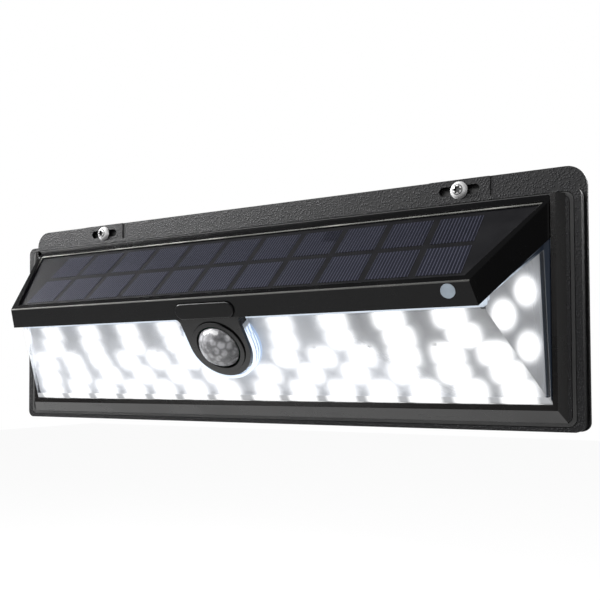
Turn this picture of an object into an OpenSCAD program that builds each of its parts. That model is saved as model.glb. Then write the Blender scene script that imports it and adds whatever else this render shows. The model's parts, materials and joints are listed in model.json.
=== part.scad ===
// Solar wall flood light: wedge housing with a solar hood, a lit three-facet lens and a PIR sensor.
// Units mm. X runs along the light, +Y into the wall, +Z up. Origin: centre of the back face.

/* [Rear housing] */
// Overall length of the wall plate
plate_w = 345; // [300:1:400]
// Overall height of the wall plate
plate_h = 118.5; // [100:0.5:140]
// Thickness of the plate and of the top tab
plate_t = 3; // [2:0.1:5]
// Depth of the rim in front of the plate
rim_d = 7.8; // [5:0.1:12]
// Top of the rim above the centre line
rim_top = 48.2; // [40:0.1:52]
// Distance of each wall slot from the middle
slot_x = 114; // [80:1:140]
// Height of the wall slots above the centre line
slot_z = 54; // [50:0.1:56]
// Overall length of a wall slot
slot_l = 20; // [10:0.5:30]
// Width of a wall slot
slot_w = 4.4; // [3:0.1:6]

/* [Hood] */
// Depth of the hood's front top edge from the wall
hood_front = 55.8; // [45:0.1:70]
// Height of the hood's front top edge
hood_front_z = 4.6; // [0:0.1:12]
// Height of the hood's back top edge
hood_back_z = 45.6; // [40:0.1:48]
// Half length of the hood where it meets the rim
hood_back_x = 161.1; // [150:0.1:165]
// Half length of the hood along its front top edge
hood_front_x = 135.9; // [120:0.1:150]
// Wall thickness of the hood
hood_t = 2.4; // [1.6:0.1:3.5]

/* [Lens] */
// Depth of the lens's upper front edge
lens_front = 43.2; // [35:0.1:50]
// Height of the lens's upper front edge
lens_front_z = -7.3; // [-15:0.1:0]
// Depth of the lens's lower edge
lens_low = 14.4; // [12:0.1:20]
// Height of the lens's lower edge
lens_low_z = -46.9; // [-52:0.1:-40]
// Half length of the lens along its upper front edge
lens_front_x = 139.2; // [120:0.1:150]
// Half length of the lens along its lower edge
lens_low_x = 158.9; // [150:0.1:162]
// Wall thickness of the clear lens
lens_t = 1.6; // [1:0.1:3]

/* [Solar panel] */
// Number of solar cells in a row
cell_cols = 11; // [5:1:15]
// Spacing of the cells along the row
cell_pitch = 24; // [20:0.1:30]
// Side of one square cell
cell_s = 20.3; // [15:0.1:24]
// Gap between the two rows of cells
cell_gap = 3.5; // [1:0.1:6]

/* [Motion sensor] */
// Radius of the sensor dome
dome_r = 12.2; // [10:0.1:15]
// Height of the sensor dome above its seat
dome_h = 8.2; // [5:0.1:12]
// Distance of the dome below the lens's upper edge, along the lens
dome_v = 11.2; // [8:0.1:16]
// Radius of the rounded end of the sensor housing
tongue_r = 17.8; // [15:0.1:22]
// How far the sensor housing stands in front of the lens
tongue_p = 5; // [3:0.1:8]

/* [Controls] */
// Length of the mode button
button_w = 35.4; // [20:0.1:45]
// Height of the mode button
button_h = 8.2; // [6:0.1:10]
// How far the mode button stands out of the hood
button_p = 1.1; // [0.5:0.1:2]
// Radius of the light sensor window
window_r = 3.25; // [2:0.05:5]
// Distance of the light sensor window from the middle
window_x = 126.3; // [100:0.1:130]

/* [Battery] */
// Diameter of one battery cell
battery_d = 18.4; // [14:0.1:22]
// Length of one battery cell
battery_l = 65; // [50:0.5:70]
// Distance of each battery cell's centre from the middle
battery_x = 84; // [70:1:95]

/* [Hidden] */
$fn = 64;
eps = 0.02;
big = 400;
gap = 0.3;
plate_corner = 9;
low_corner = 4;
rim_x = plate_w / 2 - 1;
rim_front = plate_t + rim_d;
rim_bot = -plate_h / 2;
pad_w = 30;
pad_t = 0.6;

// cavity inside the rim
cav_x = 164;
cav_top = 43.5;
cav_bot = -54;
cav_r = 3;

// bevel frame in front of the rim
bev_out_x = 164.8;
bev_out_z = -55.3;
bev_in_x = 161.4;
bev_in_z = -49.8;
bev_front = 14.9;
bev_top = 45.6;
skirt_d = 7.9;
skirt_g = 0.3;

// hood slope, from its back top edge to its front top edge
hood_run = hood_front - rim_front;
hood_drop = hood_back_z - hood_front_z;
slope = atan2(hood_drop, hood_run);
slope_l = sqrt(hood_run * hood_run + hood_drop * hood_drop);
hood_plan = (hood_back_x - hood_front_x) / hood_run;
fascia_low = 51.3;
fascia_low_z = -5.55;
fascia_run = hood_front - fascia_low;
fascia_drop = hood_front_z - fascia_low_z;
fascia_a = 180 - atan2(fascia_drop, fascia_run);
side_low_z = 28.9;
floor_w = 4.8;
pocket_w = 3.2;

// lens slope
lens_run = lens_front - lens_low;
lens_drop = lens_front_z - lens_low_z;
lens_a = 180 - atan2(lens_drop, lens_run);
lens_l = sqrt(lens_run * lens_run + lens_drop * lens_drop);
lens_plan = (lens_low_x - lens_front_x) / lens_run;
side_a = 90 - atan(lens_plan);
side_l = sqrt(pow(lens_low_x - lens_front_x, 2) + lens_run * lens_run);
lens_back = 5.6;
flange_t = 1.5;
flange_o = 1.6;

// light boards, measured behind the lens's outer face
board_t = 1.2;
board_in = 3.2;
carrier_t = 1.8;
carrier_in = board_in + board_t + 0.1;
led_x = 3.5;
led_y = 2.8;
led_t = 0.8;
led_v0 = 3.8;
led_dv = 10.1;
led_rows = [
    [34.6, 28.85, 4],
    [33.7, 30.6, 4],
    [30.5, 21.4, 6],
    [17, 24.9, 6],
    [12.2, 22.1, 7]
];
side_leds = [[11.7, -1.1], [24, 9.7], [25.3, -14.5]];

// solar glass, measured down the hood from its back top edge
glass_v0 = 5.3;
glass_v1 = 57;
glass_x0 = 156.3;
glass_x1 = 133.1;
lip = 0.5;
glass_t = 1;
cell_t = 0.25;
sheet_t = 1;
tape_t = pocket_w - lip - glass_t - cell_t - sheet_t;
cell_v = (glass_v0 + glass_v1) / 2;

// motion sensor stack, measured from the lens plane
tongue_t = 2.2;
tongue_wall = 1.8;
tongue_back = 5;
notch_g = 1;
collar_t = 1.5;
collar_p = 4.2;
dome_t = 0.7;
pir_board_t = 1.2;
can_r = 4.6;
can_h = 4.2;

// button and switch stack, measured from the fascia
button_y = -1.3;
stem_y = -2;
press = 0.8;
flange_z = 4;
switch_top = 7.2;
switch_h = 3.5;
plunger_r = 1.75;

// battery and main board
battery_r = battery_d / 2;
battery_y = 15.6;
battery_z = 17;
main_w = 100;
main_h = 34;
main_z = -19;
main_y = 6;
main_t = 1.6;

// screws that hold the case together
case_hole = 1.45;
case_thread = 1.15;
case_pilot = 1.2;
case_head = 2.3;
low_posts = [-145, -72, 0, 72, 145];
low_post_z = -51.35;
low_post_r = 2.3;
top_posts = [-140, -70, 0, 70, 140];
top_post_z = 37.5;
top_post_r = 3;
lug_x = 153.5;
lug_z = 33;
carrier_posts = [-128, -66, 66, 128];
carrier_z = -24;

// wall screws
head_r = 4.3;
head_t = 2.9;
neck_r = 1.3;
thread_r = 1.75;
screw_out = 25;

// Sub-part to build, or "all"

// ---------- frames of reference ----------

// x along the hood, -y down its slope, z out of it
module on_panel() {
    translate([0, -rim_front, hood_back_z])
        rotate([slope, 0, 0])
            children();
}

// x along the fascia, y up it, z out of it, from the fascia's middle line
module on_fascia() {
    translate([0, -(hood_front + fascia_low) / 2, (hood_front_z + fascia_low_z) / 2])
        rotate([fascia_a, 0, 0])
            children();
}

// x along the lens, -y down it, z out of it, from the lens's upper front edge
module on_lens() {
    translate([0, -lens_front, lens_front_z])
        rotate([lens_a, 0, 0])
            children();
}

// x back along the right facet, y up, z out of it, from the facet's front corner
module on_side() {
    translate([lens_front_x, -lens_front, lens_front_z])
        rotate([0, 0, side_a])
            rotate([90, 0, 0])
                children();
}

module both_sides() {
    children();
    mirror([1, 0, 0])
        children();
}

// section drawn as [distance from wall, height], run along the light
module along_x(half) {
    translate([-half, 0, 0])
        rotate([90, 0, 90])
            linear_extrude(2 * half)
                mirror([1, 0])
                    children();
}

// plan drawn as [x, distance from wall], run from z0 to z1
module up_z(z0, z1) {
    translate([0, 0, z0])
        linear_extrude(z1 - z0)
            mirror([0, 1])
                children();
}

// solid of radius r from y0 to y1 measured away from the wall
module rod_y(r, y0, y1) {
    translate([0, -y0, 0])
        rotate([90, 0, 0])
            cylinder(r = r, h = y1 - y0);
}

module round_rect(x0, z0, x1, z1, r) {
    translate([x0 + r, z0]) square([x1 - x0 - 2 * r, z1 - z0]);
    translate([x0, z0 + r]) square([x1 - x0, z1 - z0 - 2 * r]);
    for (x = [x0 + r, x1 - r], z = [z0 + r, z1 - r])
        translate([x, z]) circle(r);
}

module tab_shape() {
    x = plate_w / 2;
    top = plate_h / 2;
    translate([-x + plate_corner, 0]) square([2 * (x - plate_corner), top]);
    translate([-x, -top + low_corner]) square([2 * x, 2 * top - low_corner - plate_corner]);
    translate([-x + low_corner, -top]) square([2 * (x - low_corner), top]);
    for (s = [-1, 1]) {
        translate([s * (x - plate_corner), top - plate_corner]) circle(plate_corner);
        translate([s * (x - low_corner), -top + low_corner]) circle(low_corner);
    }
}

module pill(w, h) {
    r = h / 2;
    square([w - h, h], center = true);
    for (s = [-1, 1])
        translate([s * (w / 2 - r), 0]) circle(r);
}

// plate of a drawing in the x-z plane, from y0 to y1 away from the wall
module plate_y(y0, y1) {
    translate([0, -y0, 0])
        rotate([90, 0, 0])
            linear_extrude(y1 - y0)
                children();
}

// round wire through a list of points
module wire(points, r = 0.75, turn = [0, 0, 0]) {
    for (i = [0 : len(points) - 2]) {
        a = points[i];
        d = points[i + 1] - a;
        l = norm(d);
        translate(a)
            rotate([0, acos(d[2] / l), atan2(d[1], d[0])])
                cylinder(r = r, h = l);
    }
    for (i = [1 : len(points) - 2])
        translate(points[i])
            rotate(turn)
                sphere(r * 1.3);
}

// ---------- rear housing ----------

module rear_housing() {
    color([0.05, 0.05, 0.05])
    difference() {
        union() {
            plate_y(0, plate_t) tab_shape();
            plate_y(plate_t - eps, rim_front)
                round_rect(-rim_x, rim_bot, rim_x, rim_top, low_corner);
            for (s = [-1, 1])
                plate_y(plate_t - eps, plate_t + pad_t)
                    translate([s * slot_x, (rim_top + plate_h / 2) / 2])
                        square([pad_w, plate_h / 2 - rim_top], center = true);
        }
        difference() {
            plate_y(plate_t, rim_front + 1)
                round_rect(-cav_x, cav_bot, cav_x, cav_top, cav_r);
            for (x = [-main_w / 2 + 4, main_w / 2 - 4], z = [-1, 1])
                translate([x, 0, main_z + z * (main_h / 2 - 4)])
                    rod_y(2.6, plate_t - 1, main_y);
        }
        for (x = [-main_w / 2 + 4, main_w / 2 - 4], z = [-1, 1])
            translate([x, 0, main_z + z * (main_h / 2 - 4)])
                rod_y(0.95, plate_t - 1.2, main_y + 1);
        for (s = [-1, 1])
            plate_y(-1, rim_front)
                translate([s * slot_x, slot_z]) pill(slot_l, slot_w);
        for (s = [-1, 1])
            plate_y(-1, 0.9)
                translate([s * slot_x, slot_z]) square([46, 8.2], center = true);
        case_holes();
        plate_y(-1, 0.8) {
            round_rect(-158, -44, -8, 29, 3);
            round_rect(8, -44, 158, 29, 3);
        }
        seal_groove();
    }
}

module case_holes() {
    for (p = case_points())
        translate([p[0], 0, p[1]]) {
            rod_y(case_hole, -1, plate_t + 1);
            rod_y(case_head + 0.3, -1, 1.9);
        }
}

function case_points() = concat(
    [for (x = low_posts) [x, low_post_z]],
    [for (x = top_posts) [x, top_post_z]],
    [for (s = [-1, 1]) [s * lug_x, lug_z]],
    [for (x = carrier_posts) [x, carrier_z]]
);

module seal_groove() {
    plate_y(rim_front - 1, rim_front + 1)
        difference() {
            round_rect(-168.6, -57.2, 168.6, 46.4, 4);
            round_rect(-166.4, -55, 166.4, 44.6, 3);
        }
}

module housing_gasket() {
    color([0.25, 0.26, 0.27])
        plate_y(rim_front - 1, rim_front - 0.05)
            difference() {
                round_rect(-168.3, -56.9, 168.3, 46.1, 3.7);
                round_rect(-166.7, -55.3, 166.7, 44.9, 3.3);
            }
}

// ---------- front frame ----------

module frame_leg() {
    // section in plan: bevel outside, flat ledge inside
    up_z(bev_in_z - 3, bev_top)
        polygon([
            [bev_out_x, rim_front + eps], [bev_in_x, bev_front],
            [159.2, bev_front], [159.2, skirt_d], [cav_x - skirt_g, skirt_d],
            [cav_x - skirt_g, rim_front + eps]
        ]);
}

module front_frame() {
    low_in = lens_low_z - 0.3;
    color([0.03, 0.03, 0.03])
    difference() {
        union() {
            intersection() {
                union() {
                    both_sides() frame_leg();
                    both_sides()
                        translate([0, 0, bev_out_z - bev_in_z]) frame_leg();
                    bottom_bar(low_in);
                }
                union() {
                    mitre_body();
                    plate_y(skirt_d, rim_front + 2 * eps)
                        round_rect(
                            -cav_x + skirt_g, cav_bot + skirt_g,
                            cav_x - skirt_g, bev_top, 2.6
                        );
                }
            }
            for (x = low_posts)
                translate([x, 0, low_post_z])
                    rod_y(low_post_r, plate_t + 0.1, skirt_d + 1);
            both_sides() frame_lug();
        }
        for (x = low_posts)
            translate([x, 0, low_post_z])
                rod_y(case_pilot, plate_t - 1, skirt_d + 2);
        both_sides()
            translate([lug_x, 0, lug_z])
                rod_y(case_pilot, plate_t - 1, 9.5);
        hood_relief();
        // the top of the skirt stops at the top wall of the rim
        translate([-big / 2, -rim_front - eps, cav_top - skirt_g])
            cube([big, 20, 20]);
    }
}

module bottom_bar(low_in) {
    along_x(cav_x + 2)
        polygon([
            [rim_front + eps, bev_out_z], [bev_front, bev_in_z],
            [bev_front, low_in], [skirt_d, low_in],
            [skirt_d, cav_bot + skirt_g], [rim_front + eps, cav_bot + skirt_g]
        ]);
}

// the solid whose sloping sides give the frame its mitred corners
module mitre_body() {
    intersection() {
        along_x(bev_out_x)
            polygon([
                [rim_front + eps, bev_out_z], [bev_front, bev_in_z],
                [bev_front, bev_top], [rim_front + eps, bev_top]
            ]);
        up_z(bev_out_z, bev_top)
            polygon([
                [-bev_out_x, rim_front + eps], [-bev_in_x, bev_front],
                [bev_in_x, bev_front], [bev_out_x, rim_front + eps]
            ]);
    }
}

module frame_lug() {
    plate_y(skirt_d, rim_front - 0.3)
        translate([lug_x - 4.5, lug_z - 4.5]) square([11, 9]);
    translate([lug_x, 0, lug_z])
        rod_y(3, plate_t + 0.1, skirt_d + 0.1);
}

// room for the back corners of the hood between the frame's legs
module hood_relief() {
    intersection() {
        up_z(0, 60) hood_plan_shape(-0.3);
        along_x(170) polygon([
            [rim_front - 0.2, 60], [rim_front - 0.2, side_low_z - 1],
            [20, side_low_z - 9], [20, 60]
        ]);
    }
}

// ---------- hood ----------

module hood_plan_shape(inset) {
    // half length at a distance d from the wall
    k = inset / cos(atan(hood_plan));
    a = hood_back_x + hood_plan * rim_front - k;
    polygon([
        [-a, 0], [-a + hood_plan * 80, 80],
        [a - hood_plan * 80, 80], [a, 0]
    ]);
}

// point of the hood's section at v down the slope and w out of it
function hood_pt(v, w) = [
    rim_front + v * cos(slope) + w * sin(slope),
    hood_back_z - v * sin(slope) + w * cos(slope)
];

module hood_outer() {
    intersection() {
        along_x(180)
            polygon([
                [rim_front + eps, hood_back_z], [hood_front, hood_front_z],
                [fascia_low, fascia_low_z], [rim_front + eps, side_low_z]
            ]);
        up_z(-30, 60) hood_plan_shape(0);
    }
}

module hood_inner() {
    intersection() {
        along_x(180)
            polygon([
                hood_pt(-10, -floor_w), hood_pt(54.3, -floor_w),
                [50, -2.2], [47.2, -0.6], [47.2, -40], [0, -40], [0, 50]
            ]);
        up_z(-50, 60) hood_plan_shape(hood_t);
    }
}

module glass_shape(g) {
    k = (glass_x0 - glass_x1) / (glass_v1 - glass_v0);
    polygon([
        [-glass_x0 - g - k * g, -glass_v0 + g], [glass_x0 + g + k * g, -glass_v0 + g],
        [glass_x1 + g - k * g, -glass_v1 - g], [-glass_x1 - g + k * g, -glass_v1 - g]
    ]);
}

module tongue_shape(g) {
    // rounded end, straight sides, and fillets into the fascia
    r = tongue_r + g;
    f = 3;
    top = 8;
    neck = 6;
    translate([0, -dome_v]) circle(r);
    translate([-r, -dome_v]) square([2 * r, dome_v + top]);
    if (g <= 0)
        for (s = [-1, 1])
            difference() {
                translate([s * (r + (f - eps) / 2), neck + (top - neck) / 2 - f / 2])
                    square([f + eps, top - neck + f], center = true);
                translate([s * (r + f), neck - f]) circle(f);
            }
}

module solar_hood() {
    color([0.02, 0.02, 0.02])
    difference() {
        union() {
            difference() {
                hood_outer();
                difference() {
                    hood_inner();
                    hood_posts();
                }
            }
            sensor_tongue();
        }
        on_panel()
            translate([0, 0, -pocket_w])
                linear_extrude(pocket_w + 1) glass_shape(0.25);
        on_panel()
            translate([0, -glass_v0 - 9, -floor_w - 1])
                cylinder(r = 3, h = 4);
        for (x = top_posts)
            translate([x, 0, top_post_z])
                rod_y(case_pilot, plate_t - 1, 14.5);
        on_lens() {
            translate([0, -dome_v, tongue_p - tongue_t - 1])
                cylinder(r = dome_r + 0.1, h = tongue_t + 2);
            tongue_hollow();
        }
        on_fascia() {
            translate([0, button_y, -flange_z - 0.2])
                linear_extrude(flange_z + 3) pill(button_w + 2 * gap, button_h + 2 * gap);
            translate([0, stem_y, -9])
                cylinder(r = 2.6, h = 8);
            // room for the switch and its board behind the fascia
            translate([-12, stem_y - 4.6, -20])
                cube([24, 8.2, 13.6]);
            translate([window_x, 1.4, -1.3])
                cylinder(r = window_r + 0.05, h = 3);
            translate([window_x, 1, -8])
                cylinder(r = 1.7, h = 8);
        }
    }
}

module hood_posts() {
    for (x = top_posts)
        translate([x, 0, top_post_z])
            rod_y(top_post_r, plate_t + 0.1, 24);
}

module sensor_tongue() {
    intersection() {
        on_lens()
            translate([0, 0, -tongue_back])
                linear_extrude(tongue_back + tongue_p) tongue_shape(0);
        // stays behind the fascia's outer face
        on_fascia()
            translate([-50, -60, -60])
                cube([100, 80, 60 - eps]);
    }
}

module tongue_hollow() {
    translate([0, 0, -tongue_back - 1])
        linear_extrude(tongue_back + tongue_p - tongue_t + 1) {
            translate([0, -dome_v]) circle(tongue_r - tongue_wall);
            translate([-tongue_r + tongue_wall, -dome_v])
                square([2 * (tongue_r - tongue_wall), dome_v + 3]);
        }
}

// ---------- lens ----------

module lens_plan_shape(inset, back) {
    k = inset / cos(atan(lens_plan));
    a = lens_low_x - k;
    front = lens_front + 8;
    polygon([
        [-a, back], [-a, lens_low], [-a + lens_plan * (front - lens_low), front],
        [a - lens_plan * (front - lens_low), front], [a, lens_low], [a, back]
    ]);
}

// point of the lens's section at s above its upper edge and w out of it
function lens_pt(s, w) = [
    lens_front + s * lens_run / lens_l + w * lens_drop / lens_l,
    lens_front_z + s * lens_drop / lens_l - w * lens_run / lens_l
];

module lens_prism(inset) {
    top = 5.5;
    // the side facets stop just under the hood's lower edge
    m = (side_low_z - fascia_low_z) / (fascia_low - rim_front);
    g = 0.35 + inset * 3;
    intersection() {
        along_x(170)
            polygon([
                lens_pt(top, -inset), lens_pt(-lens_l, -inset),
                [lens_low - inset * 0.3, lens_low_z + inset],
                [lens_back - inset * 2, lens_low_z + inset],
                [lens_back - inset * 2, side_low_z - g],
                [rim_front, side_low_z - g],
                [44, side_low_z - g - m * (44 - rim_front) + inset * 6],
                [44, lens_pt(top, -inset)[1] + inset]
            ]);
        up_z(-60, 60) lens_plan_shape(inset, lens_back - inset * 2);
    }
}

module lens_cover() {
    color([0.85, 0.9, 0.95, 0.35])
    difference() {
        union() {
            difference() {
                lens_prism(0);
                lens_inside();
            }
            lens_flange();
            on_lens()
                translate([0, 0, -lens_t])
                    linear_extrude(lens_t + collar_p)
                        intersection() {
                            tongue_shape(notch_g + collar_t);
                            translate([-40, -40]) square([80, 41]);
                        }
        }
        on_lens()
            translate([0, 0, -12])
                linear_extrude(40) {
                    tongue_shape(notch_g);
                    fillet_gap();
                }
    }
}

// room for the fillets where the tongue meets the fascia
module fillet_gap() {
    f = 3;
    r = tongue_r;
    for (s = [-1, 1])
        difference() {
            translate([s * (r + f / 2), 5.7]) square([f + 0.6, 5.4], center = true);
            translate([s * (r + f), 3]) circle(f - 0.3);
        }
}

// hollow of the lens: open at the back and along the top
module lens_inside() {
    intersection() {
        along_x(170)
            polygon([
                lens_pt(20, -lens_t), lens_pt(-lens_l + 0.9, -lens_t),
                [lens_back - 1, lens_low_z + lens_t],
                [lens_back - 1, 60], [60, 60]
            ]);
        up_z(-60, 60) lens_plan_shape(lens_t, lens_back - 2);
    }
}

module lens_flange() {
    x = lens_low_x + flange_o;
    z0 = lens_low_z - flange_o;
    z1 = side_low_z - 3;
    plate_y(lens_back, lens_back + flange_t)
        difference() {
            translate([-x, z0]) square([2 * x, z1 - z0]);
            translate([-lens_low_x + 1, lens_low_z + 1])
                square([2 * lens_low_x - 2, 100]);
        }
}

module lens_gasket() {
    x = lens_low_x + flange_o - 0.1;
    z0 = lens_low_z - flange_o + 0.1;
    z1 = side_low_z - 4;
    color([0.85, 0.85, 0.82])
    plate_y(lens_back + flange_t + 0.02, skirt_d - 0.05)
        difference() {
            translate([-x, z0]) square([2 * x, z1 - z0]);
            translate([-lens_low_x - 0.35, lens_low_z - 0.35])
                square([2 * lens_low_x + 0.7, 100]);
        }
}

// ---------- solar panel ----------

module solar_glass() {
    color([0.1, 0.12, 0.16, 0.4])
    on_panel()
        translate([0, 0, -lip - glass_t])
            linear_extrude(glass_t) glass_shape(0);
}

module cell_grid() {
    for (i = [0 : cell_cols - 1], s = [-1, 1])
        translate([
            (i - (cell_cols - 1) / 2) * cell_pitch,
            -cell_v + s * (cell_s + cell_gap) / 2
        ])
            children();
}

module solar_cells() {
    color([0.05, 0.06, 0.12])
    on_panel()
        translate([0, 0, -lip - glass_t - cell_t])
            linear_extrude(cell_t)
                cell_grid() square(cell_s, center = true);
}

module solar_backsheet() {
    color([0.04, 0.04, 0.05])
    on_panel()
        translate([0, 0, -pocket_w + tape_t])
            difference() {
                linear_extrude(sheet_t) glass_shape(-0.2);
                for (s = [-1, 1])
                    translate([s * 1.6, -glass_v0 - 9, -1])
                        cylinder(r = 0.5, h = 1.6);
            }
}

module panel_tape() {
    color([0.75, 0.75, 0.7])
    on_panel()
        translate([0, 0, -pocket_w])
            linear_extrude(tape_t)
                difference() {
                    glass_shape(-1);
                    glass_shape(-7);
                }
}

module panel_leads() {
    for (s = [-1, 1])
        color(s < 0 ? [0.7, 0.05, 0.05] : [0.03, 0.03, 0.03])
            wire([
                [s * 1.6, -(hood_pt(glass_v0 + 9, -pocket_w)[0]), hood_pt(glass_v0 + 9, -pocket_w)[1]],
                [s * 1.6, -(hood_pt(glass_v0 + 9, -10)[0]), hood_pt(glass_v0 + 9, -10)[1]],
                [s * 1.6 + 6, -12, 4],
                [s * 1.6 + 6, -11, -3.5]
            ]);
}

// ---------- light boards ----------

module led_board_shape(g) {
    k = lens_plan * lens_run / lens_l;
    v0 = 0.8;
    v1 = 46.4;
    x = 134.8 + g;
    difference() {
        polygon([
            [-x - k * v0, -v0 - g], [x + k * v0, -v0 - g],
            [x + k * v1, -v1], [-x - k * v1, -v1]
        ]);
        tongue_shape(notch_g + 0.6);
    }
}

module side_board_shape() {
    polygon([[3, -0.5], [33.2, -34], [31, 20.5], [3, 4]]);
}

module led_spots() {
    for (i = [0 : len(led_rows) - 1])
        for (j = [0 : led_rows[i][2] - 1], s = [-1, 1])
            translate([
                s * (led_rows[i][0] + j * led_rows[i][1]),
                -led_v0 - i * led_dv
            ])
                children();
}

module led_board_front() {
    color([0.92, 0.92, 0.9])
    on_lens()
        difference() {
            translate([0, 0, -board_in - board_t])
                linear_extrude(board_t) led_board_shape(0);
            for (x = [-45, 45])
                translate([x, -19, -board_in - board_t - 1]) cylinder(r = 1.3, h = 1.9);
        }
}

module side_board() {
    color([0.92, 0.92, 0.9])
    on_side()
        translate([0, 0, -board_in - board_t])
            linear_extrude(board_t) side_board_shape();
}

module led_board_right() {
    side_board();
}

module led_board_left() {
    mirror([1, 0, 0]) side_board();
}

module led_package() {
    difference() {
        translate([-led_x / 2, -led_y / 2, 0]) cube([led_x, led_y, led_t]);
        translate([0, 0, led_t - 0.15]) cylinder(r = 1.1, h = 1);
    }
}

module leds_front() {
    color([1, 0.98, 0.9])
    on_lens()
        translate([0, 0, -board_in])
            led_spots() led_package();
}

module side_led_set() {
    color([1, 0.98, 0.9])
    on_side()
        for (p = side_leds)
            translate([p[0], p[1], -board_in]) led_package();
}

module leds_right() {
    side_led_set();
}

module leds_left() {
    mirror([1, 0, 0]) side_led_set();
}

module led_resistors() {
    color([0.1, 0.1, 0.1])
    on_lens()
        for (x = [-111, -79, -49, 49, 79, 111])
            translate([x - 1, -18.9, -board_in])
                cube([2, 1.25, 0.5]);
}

module led_carrier() {
    color([0.9, 0.9, 0.9])
    difference() {
        union() {
            on_lens()
                translate([0, 0, -carrier_in - carrier_t])
                    linear_extrude(carrier_t) led_board_shape(-2);
            both_sides()
                on_side()
                    translate([0, 0, -carrier_in - carrier_t])
                        linear_extrude(carrier_t)
                            polygon([[9, 1], [31, -27], [29.5, 18.5], [9, 6]]);
            intersection() {
                for (x = carrier_posts)
                    translate([x, 0, carrier_z])
                        rod_y(3, plate_t + 0.1, 40);
                on_lens()
                    translate([-200, -100, -100 - carrier_in])
                        cube([400, 200, 100]);
            }
            both_sides() carrier_arm();
        }
        for (x = carrier_posts)
            translate([x, 0, carrier_z])
                rod_y(case_pilot, plate_t - 1, 18);
        for (s = [-1, 1])
            on_lens()
                translate([s * 45, -19, -12]) cylinder(r = 1.3, h = 12);
        on_lens()
            translate([0, 0, -20])
                linear_extrude(30) tongue_shape(notch_g + 0.6);
    }
}

// arm that joins each side plate to the front plate
module carrier_arm() {
    intersection() {
        translate([128, -19, -27]) cube([24, 4, 6]);
        up_z(-60, 60) lens_plan_shape(carrier_in + 0.5, 0);
        on_lens()
            translate([-200, -100, -100 - carrier_in])
                cube([400, 200, 100]);
    }
}

module led_leads() {
    p = lens_pt(-19, -board_in - board_t);
    for (s = [-1, 1])
        color(s > 0 ? [0.8, 0.1, 0.1] : [0.05, 0.05, 0.05])
            wire([
                [s * 45, -p[0], p[1]],
                [s * 45, -p[0] + 7, p[1] + 4],
                [s * 41.4, -13, -11.2],
                [s * 41, -11, -12.6]
            ], 0.7);
}

// ---------- motion sensor ----------

module pir_dome() {
    ball = (dome_r * dome_r + dome_h * dome_h) / (2 * dome_h);
    seat = tongue_p;
    color([0.85, 0.86, 0.88, 0.8])
    on_lens()
        translate([0, -dome_v, 0])
            rotate_extrude() {
                intersection() {
                    translate([0, seat + dome_h - ball])
                        difference() {
                            circle(ball);
                            circle(ball - dome_t);
                        }
                    translate([0, seat]) square([dome_r + 1, dome_h + 1]);
                }
                translate([dome_r - dome_t, seat - tongue_t - 0.9])
                    square([dome_t, tongue_t + 0.9 + eps]);
                translate([dome_r - dome_t, seat - tongue_t - 0.9])
                    square([2, 0.8]);
            }
}

module pir_ring() {
    color([0.03, 0.03, 0.03])
    on_lens()
        translate([0, -dome_v, tongue_p])
            difference() {
                cylinder(r = 14.9, h = 0.9);
                translate([0, 0, -1]) cylinder(r = dome_r + 0.15, h = 3);
            }
}

module pir_sensor() {
    color([0.75, 0.75, 0.75])
    on_lens()
        translate([0, -dome_v, -tongue_back + 0.1]) {
            difference() {
                union() {
                    cylinder(r = can_r + 0.3, h = 0.5);
                    cylinder(r = can_r, h = can_h);
                }
                translate([-2.05, -1.55, can_h - 0.5]) cube([4.1, 3.1, 1]);
            }
            for (a = [0, 120, 240])
                rotate([0, 0, a])
                    translate([2.5, 0, -3])
                        cylinder(r = 0.25, h = 3.1);
        }
}

module pir_window() {
    color([0.35, 0.33, 0.4])
    on_lens()
        translate([-2, -dome_v - 1.5, -tongue_back + 0.1 + can_h - 0.48])
            cube([4, 3, 0.4]);
}

module pir_board() {
    color([0.06, 0.3, 0.15])
    on_lens()
        translate([0, -dome_v, -tongue_back - pir_board_t - 0.03])
            difference() {
                cylinder(r = tongue_r - 0.2, h = pir_board_t);
                translate([-30, dome_v + 1.4, -1]) cube([60, 30, 5]);
                for (a = [0, 120, 240])
                    rotate([0, 0, a])
                        translate([2.5, 0, -1]) cylinder(r = 0.28, h = 3);
                for (s = [-2, 0, 2])
                    translate([s, -9, -1]) cylinder(r = 0.45, h = 3);
            }
}

module pir_leads() {
    p = lens_pt(-dome_v - 9, -tongue_back - pir_board_t + 0.4);
    q = lens_pt(-dome_v - 9, -tongue_back - 5);
    for (s = [-2, 0, 2])
        color(s < 0 ? [0.8, 0.1, 0.1] : s > 0 ? [0.05, 0.05, 0.05] : [0.85, 0.75, 0.1])
            wire([
                [s, -p[0], p[1]], [s, -q[0], q[1]],
                [s * 0.9 - 14, -13, -22], [s * 0.9 - 14, -11, -22]
            ], 0.42);
}

// ---------- controls ----------

module mode_button() {
    color([0.08, 0.08, 0.08])
    on_fascia() {
        translate([0, button_y, -flange_z + press])
            linear_extrude(flange_z - press + button_p) pill(button_w, button_h);
        translate([0, stem_y, -switch_top + 1.9])
            cylinder(r = 2, h = switch_top - 1.9 - flange_z + press + eps);
    }
}

module button_seal() {
    color([0.3, 0.3, 0.3])
    on_fascia()
        translate([0, stem_y, -7.4])
            difference() {
                cylinder(r = 3.4, h = 0.9);
                translate([0, 0, -1]) cylinder(r = 2.35, h = 3);
            }
}

module switch_body() {
    color([0.1, 0.1, 0.1])
    on_fascia()
        translate([0, stem_y, -switch_top - switch_h])
            difference() {
                translate([-3, -3, 0]) cube([6, 6, switch_h - 0.3]);
                translate([0, 0, 1]) cylinder(r = plunger_r + 0.06, h = switch_h);
            }
}

module switch_plunger() {
    color([0.75, 0.7, 0.2])
    on_fascia()
        translate([0, stem_y, -switch_top - 0.9])
            cylinder(r = plunger_r, h = 2.4);
}

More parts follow.
